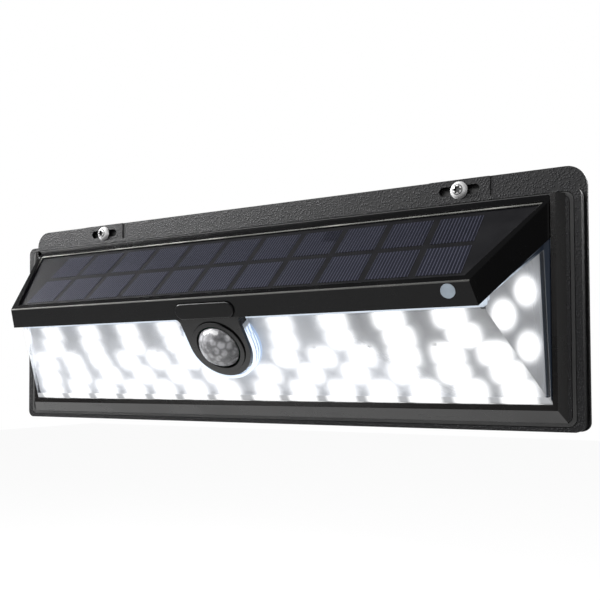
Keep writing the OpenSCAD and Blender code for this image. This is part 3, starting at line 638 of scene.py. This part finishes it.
@dataclass(frozen=True)
class LitBoard(Finish):
    """White circuit board washed by the light of its own lamps."""

    origin: tuple[float, float, float] = (0.0, 0.0, 0.0)
    down: tuple[float, float, float] = (0.0, 0.0, -1.0)
    rows: tuple[LampRow, ...] = ()
    spots: tuple[tuple[float, float, float], ...] = ()
    reach: float = 0.0067
    widen: float = 1.16
    halo: tuple[float, float] = (1.5, 0.34)
    glow: float = 1.5
    wash: float = 0.07
    squareness: float = 3.0

    def paint(self, n: Nodes) -> None:
        """Round pools of light about each lamp on a pale board with faint traces."""
        near = self._nearest(n)
        pool = (near / self.reach) ** 4.5
        core = pool.falloff()
        halo = ((near / (self.reach * self.halo[0])) ** 2.0).falloff()
        trace = n.noise(210.0, 2.0, 0.4)
        mask = n.blend(core, [self.wash, self.wash * 0.985, self.wash * 0.97], [self.glow] * 3)
        tint = n.add(
            "ShaderNodeMix",
            {"data_type": "RGBA", "blend_type": "ADD"},
        )
        n._feed(tint.inputs["Factor"], halo * self.halo[1])
        n._feed(tint.inputs[6], mask)
        n._feed(tint.inputs[7], (0.9, 0.93, 1.0))
        n.surface(
            Base_Color=n.blend(trace.ease(0.4, 0.6), (0.17, 0.17, 0.17), (0.20, 0.20, 0.195)),
            Roughness=(0.45 + trace * 0.2),
            Normal=n.bump(trace.ease(0.45, 0.55), 0.00004),
            Emission_Color=tint.outputs[2],
            Emission_Strength=1.0,
        )

    def _nearest(self, n: Nodes) -> Val:
        """Returns the distance to the nearest lamp, in metres."""
        best: Val | None = None
        if self.rows:
            x, v = n.axes(Vector(self.origin), [Vector((1, 0, 0)), Vector(self.down)])
            side = abs(x)
            for row in self.rows:
                step = ((side - row.first) / row.pitch).nearest().clamp(0.0, row.count - 1.0)
                dx = abs(side - row.first - step * row.pitch) / self.widen
                dv = abs(v - row.down)
                d = (dx ** self.squareness + dv ** self.squareness) ** (1.0 / self.squareness)
                best = d if best is None else best.least(d)
        for spot in self.spots:
            d = n.distance(Vector(spot))
            best = d if best is None else best.least(d)
        assert best is not None
        return best


@dataclass(frozen=True)
class LitCarrier(Finish):
    """White plastic behind the lamp boards, washed by their light."""

    wash: float = 0.26

    def paint(self, n: Nodes) -> None:
        """A soft, uneven wash over fine-grained white."""
        mottle = n.noise(60.0, 3.0, 0.6)
        grain = n.noise(1100.0, 3.0, 0.6)
        n.surface(
            Base_Color=n.blend(mottle, (0.42, 0.42, 0.42), (0.52, 0.52, 0.51)),
            Roughness=(0.5 + grain * 0.1),
            Normal=n.bump(grain, 0.00004),
            Emission_Color=n.blend(mottle, [self.wash * 0.8] * 3, [self.wash * 1.1] * 3),
            Emission_Strength=1.0,
        )


@dataclass(frozen=True)
class Emitter(Finish):
    """A lit white lamp package."""

    strength: float = 3.5

    def paint(self, n: Nodes) -> None:
        """Bright phosphor with a faint cool edge."""
        mottle = n.noise(1800.0, 2.0)
        n.surface(
            Base_Color=n.blend(mottle, (0.95, 0.93, 0.85), (1.0, 1.0, 1.0)),
            Roughness=(0.4 + mottle * 0.1),
            Emission_Color=n.blend(mottle, (0.93, 0.96, 1.0), (1.0, 1.0, 1.0)),
            Emission_Strength=self.strength,
        )


@dataclass(frozen=True)
class MilkDome(Finish):
    """Milky polyethylene with a lens facet in each cell."""

    colour: tuple[float, float, float] = (0.26, 0.26, 0.27)

    def paint(self, n: Nodes) -> None:
        """Soft grey body, with painted shade darkening the grooves between the facets."""
        groove = Val(n, n.add("ShaderNodeAttribute", {"attribute_name": "groove"}).outputs["Fac"])
        cloud = n.noise(170.0, 2.0, 0.5)
        dark, light = ([c * k for c in self.colour] for k in (0.45, 1.5))
        tone = n.blend(cloud.ease(0.35, 0.65), dark, light)
        # Painted shade: the walls of the grooves between the facets are darkened.
        n.surface(
            Base_Color=n.blend(groove * 0.8, tone, [c * 0.3 for c in self.colour]),
            Roughness=(0.12 + cloud * 0.10 + groove * 0.2).clamp(),
            Normal=n.bump(n.noise(900.0, 2.0), 0.00002),
            Subsurface_Weight=0.25,
            Subsurface_Radius=(0.004, 0.004, 0.004),
            Coat_Weight=0.3,
        )


@dataclass(frozen=True)
class CircuitBoard(Finish):
    """Solder-masked board with copper tracks showing through."""

    mask: tuple[float, float, float] = (0.012, 0.11, 0.05)
    track: tuple[float, float, float] = (0.03, 0.20, 0.09)

    def paint(self, n: Nodes) -> None:
        """Square-edged tracks from a brick pattern, with a glossy mask."""
        brick = n.add(
            "ShaderNodeTexBrick",
            {"offset": 0.35},
            Vector=n.add(
                "ShaderNodeMapping", None, Vector=n.coords, Rotation=(math.radians(90), 0.0, 0.0)
            ).outputs[0],
            Scale=170.0,
            Mortar_Size=0.06,
        )
        lines = Val(n, brick.outputs["Fac"])
        patch = n.noise(300.0, 3.0)
        n.surface(
            Base_Color=n.blend(lines, self.mask, self.track),
            Roughness=(0.28 + patch * 0.12),
            Normal=n.bump(lines + patch * 0.2, 0.00003),
            Coat_Weight=0.3,
        )


class Palette(Enum):
    """Every finish used on the light, by its material slot."""

    housing_black = SandedPlastic("case_sanded_black")
    frame_black = GlossPlastic("frame_smooth_black", (0.0045, 0.004, 0.004), 0.26, 0.00004, 0.3)
    # The hood's edge setting puts a painted highlight along its front top edge.
    hood_black = GlossPlastic("hood_gloss_black", (0.0022, 0.0022, 0.0024), edge=(0.0558, 0.0046))
    button_black = GlossPlastic("button_satin_black", (0.002, 0.002, 0.0022), 0.28, 0.00003, 0.12)
    seal_grey = Moulded("seal_black_rubber", (0.010, 0.010, 0.010), 0.7, 900.0)
    # Painted shade: the washers in the wall slots are black to stand in for the shade inside the slots.
    seal_black = Moulded("washer_black_rubber", (0.008, 0.008, 0.008), 0.6, 1100.0)
    seal_white = Moulded("seal_pale_silicone", (0.70, 0.70, 0.66), 0.5, 900.0)
    silicon = SolarCells("solar_silicon")
    backsheet_black = Moulded("panel_backsheet", (0.006, 0.006, 0.007), 0.45, 1600.0, 0.00003)
    foam_tape = Moulded("foam_tape", (0.6, 0.6, 0.55), 0.85, 700.0, 0.0002)
    wire_red_black = Moulded("wire_red_pvc", (0.35, 0.02, 0.02), 0.4, 800.0)
    wire_white = Moulded("wire_white_pvc", (0.75, 0.75, 0.72), 0.4, 800.0)
    led_lit = Emitter("lamp_lit")
    chip_black = Moulded("chip_epoxy", (0.02, 0.02, 0.021), 0.45, 2600.0)
    carrier_white = LitCarrier("carrier_white_abs")
    can_metal = TurnedMetal("sensor_can_nickel", (0.62, 0.58, 0.5), 0.28)
    filter_dark = Moulded("sensor_filter", (0.05, 0.04, 0.07), 0.15, 600.0)
    board_green = CircuitBoard("board_green")
    plunger_amber = Moulded("plunger_nylon", (0.5, 0.33, 0.05), 0.35, 900.0)
    photocell_resin = Moulded("photocell_resin", (0.5, 0.2, 0.05), 0.2, 900.0)
    inductor_grey = Moulded("ferrite_grey", (0.09, 0.09, 0.095), 0.6, 1800.0, 0.00008)
    capacitor_blue = Moulded("capacitor_sleeve", (0.04, 0.05, 0.18), 0.3, 600.0)
    socket_cream = Moulded("socket_nylon", (0.78, 0.74, 0.62), 0.45, 1200.0)
    screw_zinc = TurnedMetal("screw_zinc", (0.58, 0.58, 0.6), 0.34)
    battery_wrap = Moulded("battery_sleeve", (0.02, 0.12, 0.36), 0.22, 500.0)
    nickel = TurnedMetal("nickel_strip", (0.68, 0.66, 0.6), 0.3)
    cradle_black = SandedPlastic("cradle_black", depth=0.00006)
    strap_white = Moulded("strap_nylon", (0.8, 0.8, 0.77), 0.5, 1500.0)


# --------------------------------------------------------------------------- mesh helpers


def cad_copy(node: str) -> bmesh.types.BMesh:
    """Copies a CAD node's mesh, merges its loose triangles and joins flat ones.

    Args:
        node: the CAD node's name.

    Returns:
        A bmesh of the node's shape.
    """
    bm = bmesh.new()
    bm.from_mesh(frame["nodes"][node].data)
    bmesh.ops.remove_doubles(bm, verts=bm.verts, dist=2e-6)
    bmesh.ops.dissolve_limit(
        bm, angle_limit=math.radians(0.6), use_dissolve_boundaries=False, verts=bm.verts, edges=bm.edges
    )
    bmesh.ops.recalc_face_normals(bm, faces=bm.faces)
    return bm


def to_object(bm: bmesh.types.BMesh, name: str, smooth: float = 35.0) -> bpy.types.Object:
    """Makes an object at the origin out of a bmesh.

    Args:
        bm: the finished bmesh, freed here.
        name: the object's name.
        smooth: edges bent by less than this many degrees are shaded smooth.

    Returns:
        The linked object.
    """
    mesh = bpy.data.meshes.new(name)
    bm.to_mesh(mesh)
    bm.free()
    for poly in mesh.polygons:
        poly.use_smooth = True
    mesh.set_sharp_from_angle(angle=math.radians(smooth))
    obj = bpy.data.objects.new(name, mesh)
    bpy.context.scene.collection.objects.link(obj)
    return obj


def rounded(node: str, name: str, width: float, segments: int = 3, least: float = 30.0) -> bpy.types.Object:
    """Copies a CAD node with its sharp edges rounded, as moulded parts have them.

    Args:
        node: the CAD node copied.
        name: the new piece's name.
        width: the rounding's width in metres.
        segments: faces across the rounding.
        least: only edges bent more than this many degrees are rounded.

    Returns:
        The new piece.
    """
    bm = cad_copy(node)
    sharp = [
        e for e in bm.edges
        if len(e.link_faces) == 2 and e.calc_face_angle(0.0) > math.radians(least)
    ]
    bmesh.ops.bevel(
        bm, geom=sharp, offset=width, offset_type="OFFSET", affect="EDGES",
        segments=segments, profile=0.5, material=-1, clamp_overlap=True,
    )
    obj = to_object(bm, name, 40.0)
    weigh = obj.modifiers.new("even_normals", "WEIGHTED_NORMAL")
    weigh.keep_sharp = True
    return obj


def dress(obj: bpy.types.Object, finish: Finish) -> None:
    """Gives a piece or a CAD node one finish."""
    obj.data.materials.clear()
    obj.data.materials.append(finish.material())


def place(obj: bpy.types.Object, body: str, slot: str, finish: Finish, *stands_for: str) -> None:
    """Dresses a new piece and ties it to the frame.

    Args:
        obj: the piece.
        body: the CAD body it rides on.
        slot: the record's material slot; not used.
        finish: what it is dressed in.
        stands_for: the CAD nodes it replaces.
    """
    dress(obj, finish)
    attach(obj, body)
    if stands_for:
        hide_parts(*stands_for)
    log.info("%s: %d faces on %s", obj.name, len(obj.data.polygons), body)


def islands(node: str) -> list[Vector]:
    """Centres of the separate solids of a CAD node."""
    bm = cad_copy(node)
    left = set(bm.verts)
    found = []
    while left:
        stack = [left.pop()]
        group = list(stack)
        while stack:
            vert = stack.pop()
            for edge in vert.link_edges:
                other = edge.other_vert(vert)
                if other in left:
                    left.remove(other)
                    stack.append(other)
                    group.append(other)
        low = Vector([min(v.co[i] for v in group) for i in range(3)])
        high = Vector([max(v.co[i] for v in group) for i in range(3)])
        found.append((low + high) / 2)
    bm.free()
    return found


def largest_normal(node: str) -> Vector:
    """Normal of a CAD node's largest face that looks away from the wall."""
    bm = cad_copy(node)
    faces = [f for f in bm.faces if f.normal.y < -0.05]
    normal = max(faces, key=lambda f: f.calc_area()).normal.copy()
    bm.free()
    return normal


# --------------------------------------------------------------------------- camera and studio


@dataclass
class ViewPoint:
    """The camera, standing to the right of the light and a little below its middle."""

    place: tuple[float, float, float] = (0.2444, -0.3777, -0.0337)
    turn: float = 30.31
    tilt: float = 1.75
    roll: float = -0.263
    focal: float = 49.2
    shift: float = 0.0833

    def build(self) -> bpy.types.Object:
        """Makes the camera and sets it as the scene's."""
        data = bpy.data.cameras.new("view_point")
        data.sensor_width = 36.0
        data.lens = self.focal
        data.shift_y = self.shift
        data.clip_start = 0.01
        data.clip_end = 50.0
        camera = bpy.data.objects.new("view_point", data)
        bpy.context.scene.collection.objects.link(camera)
        yaw, pitch, roll = (math.radians(a) for a in (self.turn, self.tilt, self.roll))
        ahead = Vector((
            -math.sin(yaw) * math.cos(pitch), math.cos(yaw) * math.cos(pitch), math.sin(pitch)
        ))
        right = Vector((math.cos(yaw), math.sin(yaw), 0.0))
        up = right.cross(ahead)
        right, up = (
            right * math.cos(roll) + up * math.sin(roll),
            up * math.cos(roll) - right * math.sin(roll),
        )
        facing = Matrix((right, up, -ahead)).transposed().to_4x4()
        camera.matrix_world = Matrix.Translation(self.place) @ facing
        bpy.context.scene.camera = camera
        return camera


@dataclass
class Softbox:
    """One soft studio lamp."""

    name: str
    place: tuple[float, float, float]
    aim: tuple[float, float, float]
    size: tuple[float, float]
    power: float
    tint: tuple[float, float, float] = (1.0, 1.0, 1.0)

    def build(self) -> bpy.types.Object:
        """Makes the area light."""
        data = bpy.data.lights.new(self.name, "AREA")
        data.shape = "RECTANGLE"
        data.size, data.size_y = self.size
        data.energy = self.power
        data.color = self.tint
        lamp = bpy.data.objects.new(self.name, data)
        lamp.visible_camera = False
        bpy.context.scene.collection.objects.link(lamp)
        look = (Vector(self.aim) - Vector(self.place)).to_track_quat("-Z", "Y")
        lamp.matrix_world = Matrix.Translation(self.place) @ look.to_matrix().to_4x4()
        return lamp


@dataclass
class Studio:
    """Pale floor, bright surroundings behind the light and a dimmer room in front."""

    floor_drop: float = 0.55
    floor_size: float = 14.0
    floor_glow: float = 0.93
    backdrop: float = 1.0
    ambient: float = 0.06
    lamps: list[Softbox] = field(default_factory=lambda: [
        Softbox("strip_above", (-0.75, -0.95, 0.80), (-0.1, -0.05, 0.0), (2.2, 0.4), 43.0),
        Softbox("fill_right", (1.05, -0.75, 0.35), (0.12, 0.0, 0.0), (0.25, 0.6), 1.5),
        Softbox("front_left", (-0.75, -1.25, 0.12), (0.0, 0.0, 0.0), (0.5, 0.35), 2.0),
        Softbox("left_near", (-0.40, -0.22, 0.24), (-0.17, 0.0, 0.04), (0.2, 0.2), 3.3),
        Softbox("side_right", (1.0, -0.22, -0.02), (0.16, -0.02, -0.01), (0.34, 0.6), 0.7),
        Softbox("under", (-0.33, -0.13, -0.50), (-0.33, -0.05, 0.0), (1.1, 0.2), 1.0),
        Softbox("back_soft", (0.35, 1.10, 0.70), (0.0, 0.0, 0.0), (0.8, 0.5), 30.0),
    ])

    def build(self) -> None:
        """Makes the floor, the world and the lamps."""
        bm = bmesh.new()
        bmesh.ops.create_grid(bm, x_segments=1, y_segments=1, size=self.floor_size / 2)
        low = CAD_BOX[0].z
        bmesh.ops.translate(bm, verts=bm.verts, vec=(0.0, 0.0, low - self.floor_drop))
        floor = to_object(bm, "pale_floor")
        dress(floor, FloorPaper("floor_paper", glow=self.floor_glow))
        self._world()
        for lamp in self.lamps:
            lamp.build()

    def _world(self) -> None:
        """A white backdrop that lights the object only softly."""
        world = bpy.data.worlds.new("studio")
        world.use_nodes = True
        n = Nodes(world.node_tree)
        seen = n.add("ShaderNodeLightPath").outputs["Is Camera Ray"]
        tone = n.blend(seen, [self.ambient] * 3, [self.backdrop] * 3)
        sky = n.add("ShaderNodeBackground", None, Color=tone, Strength=1.0)
        out = n.add("ShaderNodeOutputWorld")
        n.tree.links.new(sky.outputs[0], out.inputs[0])
        bpy.context.scene.world = world
        bpy.context.scene.view_settings.view_transform = "Standard"


# --------------------------------------------------------------------------- sub-assemblies


@dataclass
class Case:
    """Wall plate with its rim, bevel frame, solar hood and clear lens."""

    plate_round: float = 0.7 * MM
    frame_round: float = 0.5 * MM
    hood_round: float = 0.8 * MM
    lens_round: float = 0.35 * MM
    ring_to_lens_face: float = 5.45 * MM

    def build(self) -> None:
        """Rounds the moulded parts and dresses them."""
        place(
            rounded("rear_housing", "wall_plate", self.plate_round), "housing",
            "housing_black", Palette.housing_black.value, "rear_housing",
        )
        place(
            rounded("front_frame", "bevel_frame", self.frame_round), "housing",
            "frame_black", Palette.frame_black.value, "front_frame",
        )
        corners = [v.co for v in frame["nodes"]["solar_glass"].data.vertices]
        dress(
            frame["nodes"]["solar_glass"],
            PanelGlass(
                "panel_laminate", top=max(c.z for c in corners),
                flank=max(abs(c.x) - PanelGlass.taper * c.y for c in corners),
            ),
        )
        place(
            rounded("solar_hood", "hood_shell", self.hood_round), "housing",
            "hood_black", Palette.hood_black.value, "solar_hood",
        )
        low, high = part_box("pir_ring")
        out = largest_normal("led_board_front")
        centre = (low + high) / 2 - out * self.ring_to_lens_face
        up = Vector((0, 0, 1)) - out * out.z
        up.normalize()
        clear = ClearLens("lens_polycarbonate", centre=tuple(centre), out=tuple(out), up=tuple(up))
        place(
            rounded("lens_cover", "clear_cover", self.lens_round, 2), "housing",
            "clear_lens", clear, "lens_cover",
        )


@dataclass
class LampField:
    """White boards full of lit lamps behind the lens, with white reflectors round them."""

    corner: tuple[float, float, float] = (139.2, 43.2, -7.3)
    rear: tuple[float, float] = (158.9, 14.4)
    inset: float = 3.0
    sheet: float = 0.15
    spread: float = 0.402
    front_outer: float = 137.2
    front_inner: float = 134.5
    front_top: float = 0.8
    front_low: tuple[float, float] = (48.3, 46.1)
    side_outer: tuple[tuple[float, float], ...] = ((2.5, -11.5), (33.6, -33.5), (33.6, 35.3), (2.5, 0.06))
    side_inner: tuple[tuple[float, float], ...] = ((3.2, -3.6), (30.8, -19.9), (32.8, 33.2), (3.2, 0.3))

    def rows(self, centres: Iterable[Vector], origin: Vector, down: Vector) -> tuple[LampRow, ...]:
        """Sorts the lamps into rows.

        Args:
            centres: the lamps' centres.
            origin: a point on the board.
            down: unit vector down the board.

        Returns:
            One entry for each row.
        """
        groups: dict[int, list[Vector]] = {}
        for c in centres:
            groups.setdefault(round((c - origin).dot(down) / (3 * MM)), []).append(c)
        found = []
        for key in sorted(groups):
            xs = sorted(c.x for c in groups[key] if c.x > 0)
            pitch = (xs[-1] - xs[0]) / (len(xs) - 1)
            level = sum((c - origin).dot(down) for c in groups[key]) / len(groups[key])
            found.append(LampRow(level, xs[0], pitch, len(xs)))
        return tuple(found)

    def build(self) -> None:
        """Dresses the boards with pools of light from the lamps' own places."""
        out = largest_normal("led_board_front")
        down = Vector((0, 0, -1)) - out * out.dot(Vector((0, 0, -1)))
        down.normalize()
        centres = islands("leds_front")
        origin = centres[0].copy()
        origin.x = 0.0
        board = LitBoard(
            "board_lit_front", origin=tuple(origin), down=tuple(down),
            rows=self.rows(centres, origin, down),
        )
        dress(frame["nodes"]["led_board_front"], board)
        for side in ("left", "right"):
            spots = tuple(tuple(c) for c in islands(f"leds_{side}"))
            finish = LitBoard(f"board_lit_{side}", spots=spots)
            dress(frame["nodes"][f"led_board_{side}"], finish)
            self._side_reflector(side, finish)
        self._front_reflector(out, down, board)
        dress(frame["nodes"]["led_resistors"], Palette.carrier_white.value)

    def _front_reflector(self, out: Vector, down: Vector, finish: Finish) -> None:
        """Closes the gap between the long board and the lens at its ends and foot."""
        outlines = []
        for half, low in ((self.front_outer, self.front_low[0]), (self.front_inner, self.front_low[1])):
            top, foot = half + self.spread * self.front_top, half + self.spread * low
            outlines.append([(-top, self.front_top), (-foot, low), (foot, low), (top, self.front_top)])
        corner = Vector((0.0, -self.corner[1], self.corner[2])) * MM
        self._reflector(
            "reflector_front", corner - out * self.inset * MM,
            (Vector((1, 0, 0)), down), outlines, False, finish,
        )

    def _side_reflector(self, side: str, finish: Finish) -> None:
        """Closes the gap between a side board and the lens all round it."""
        sign = 1.0 if side == "right" else -1.0
        back = Vector((sign * (self.rear[0] - self.corner[0]), self.corner[1] - self.rear[1], 0.0))
        back.normalize()
        out = Vector((sign * abs(back.y), -abs(back.x), 0.0))
        corner = Vector((sign * self.corner[0], -self.corner[1], self.corner[2])) * MM
        self._reflector(
            f"reflector_{side}", corner - out * self.inset * MM,
            (back, Vector((0, 0, -1))), [list(self.side_outer), list(self.side_inner)], True, finish,
        )

    def _reflector(
        self, name: str, origin: Vector, axes: tuple[Vector, Vector],
        outlines: list[list[tuple[float, float]]], closed: bool, finish: Finish,
    ) -> None:
        """Makes a thin white reflector between two outlines.

        Args:
            name: the piece's name.
            origin: where the outlines' own axes start.
            axes: unit vectors of the outlines' two axes.
            outlines: the outer and the inner outline, in millimetres, with as many corners each.
            closed: whether the outlines are closed.
            finish: what it is dressed in.
        """
        bm = bmesh.new()
        rims = []
        for outline in outlines:
            verts = [bm.verts.new(origin + axes[0] * a * MM + axes[1] * b * MM) for a, b in outline]
            pairs = list(zip(verts, verts[1:]))
            if closed:
                pairs.append((verts[-1], verts[0]))
            rims += [bm.edges.new(pair) for pair in pairs]
        bmesh.ops.bridge_loops(bm, edges=rims)
        bmesh.ops.solidify(bm, geom=bm.faces[:], thickness=self.sheet * MM)
        bmesh.ops.recalc_face_normals(bm, faces=bm.faces)
        place(to_object(bm, name), "housing", "board_white", finish)


@dataclass
class MotionSensor:
    """Faceted dome in its ring."""

    radius: float = 12.2 * MM
    height: float = 8.2 * MM
    levels: int = 2
    seat_depth: float = 0.45 * MM
    facet_margin: float = 0.45 * MM
    facet_lift: float = 0.22 * MM
    ring_round: float = 0.3 * MM

    def build(self) -> None:
        """Builds the dome from many flat facets with grooves between them."""
        low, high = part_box("pir_ring")
        out = largest_normal("led_board_front")
        seat = (low + high) / 2 - out * self.seat_depth
        ball = (self.radius ** 2 + self.height ** 2) / (2 * self.height)
        bm = bmesh.new()
        bmesh.ops.create_icosphere(bm, subdivisions=self.levels, radius=ball)
        bmesh.ops.bevel(
            bm, geom=bm.verts[:], offset=33.0, offset_type="PERCENT", affect="VERTICES",
            segments=1, profile=0.5, material=-1,
        )
        bmesh.ops.translate(bm, verts=bm.verts, vec=(0, 0, self.height - ball))
        bmesh.ops.bisect_plane(
            bm, geom=bm.verts[:] + bm.edges[:] + bm.faces[:], plane_co=(0, 0, 0),
            plane_no=(0, 0, -1), clear_outer=True,
        )
        result = bmesh.ops.inset_individual(
            bm, faces=bm.faces[:], thickness=self.facet_margin, depth=self.facet_lift
        )
        # This layer marks the walls of the grooves, which the dome's finish darkens as painted shade.
        layer = bm.verts.layers.float.new("groove")
        rims = set(result["faces"])
        inner = {v for f in bm.faces if f not in rims for v in f.verts}
        for v in bm.verts:
            v[layer] = 0.0 if v in inner else 1.0
        turn = Vector((0, 0, 1)).rotation_difference(out).to_matrix().to_4x4()
        bmesh.ops.transform(bm, matrix=Matrix.Translation(seat) @ turn, verts=bm.verts)
        bmesh.ops.recalc_face_normals(bm, faces=bm.faces)
        dome = to_object(bm, "dome_facets", 180.0)
        soft = dome.modifiers.new("soft_facets", "SUBSURF")
        soft.levels = soft.render_levels = 2
        place(dome, "housing", "dome_milk", MilkDome("dome_milky"), "pir_dome")
        place(
            rounded("pir_ring", "dome_ring", self.ring_round), "housing",
            "hood_black", Palette.hood_black.value, "pir_ring",
        )


@dataclass
class Controls:
    """Mode button and light sensor window."""

    button_round: float = 0.6 * MM

    def build(self) -> None:
        """Rounds the button and frosts the window."""
        place(
            rounded("mode_button", "button_cap", self.button_round, 4), "mode_button",
            "button_black", Palette.button_black.value, "mode_button",
        )
        dress(
            frame["nodes"]["sensor_window"],
            Moulded("window_frosted", (0.23, 0.27, 0.31), 0.3, 1500.0),
        )


@dataclass
class WallFixings:
    """Two bright star-recess screws in the slots."""

    def build(self) -> None:
        """Dresses the wall screws in turned metal."""
        heads = tuple(
            (c.x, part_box("wall_screws")[0].y, c.z) for c in islands("wall_screws")
        )
        dress(
            frame["nodes"]["wall_screws"],
            TurnedMetal("screw_bright", (0.95, 0.95, 0.95), 0.36, centres=heads, metallic=0.35),
        )


@dataclass
class Insides:
    """Every CAD node that stays, in its own slot's finish."""

    skip: tuple[str, ...] = (
        "led_board_front", "led_board_left", "led_board_right", "sensor_window", "wall_screws",
    )

    def build(self) -> None:
        """Dresses the nodes that no other assembly has dressed."""
        names = {p["node"]: p["material_slot"] for p in frame["record"]["subparts"]}
        for node, slot in names.items():
            if node in self.skip or slot not in Palette.__members__:
                continue
            dress(frame["nodes"][node], Palette[slot].value)
            log.info("%s dressed as %s", node, slot)


def main() -> None:
    """Builds the studio and every sub-assembly."""
    logging.basicConfig(level=logging.INFO, format="%(message)s")
    ViewPoint().build()
    Studio().build()
    Insides().build()
    for assembly in (Case(), LampField(), MotionSensor(), Controls(), WallFixings()):
        assembly.build()
        log.info("%s done", type(assembly).__name__)


if __name__ == "__main__":
    main()
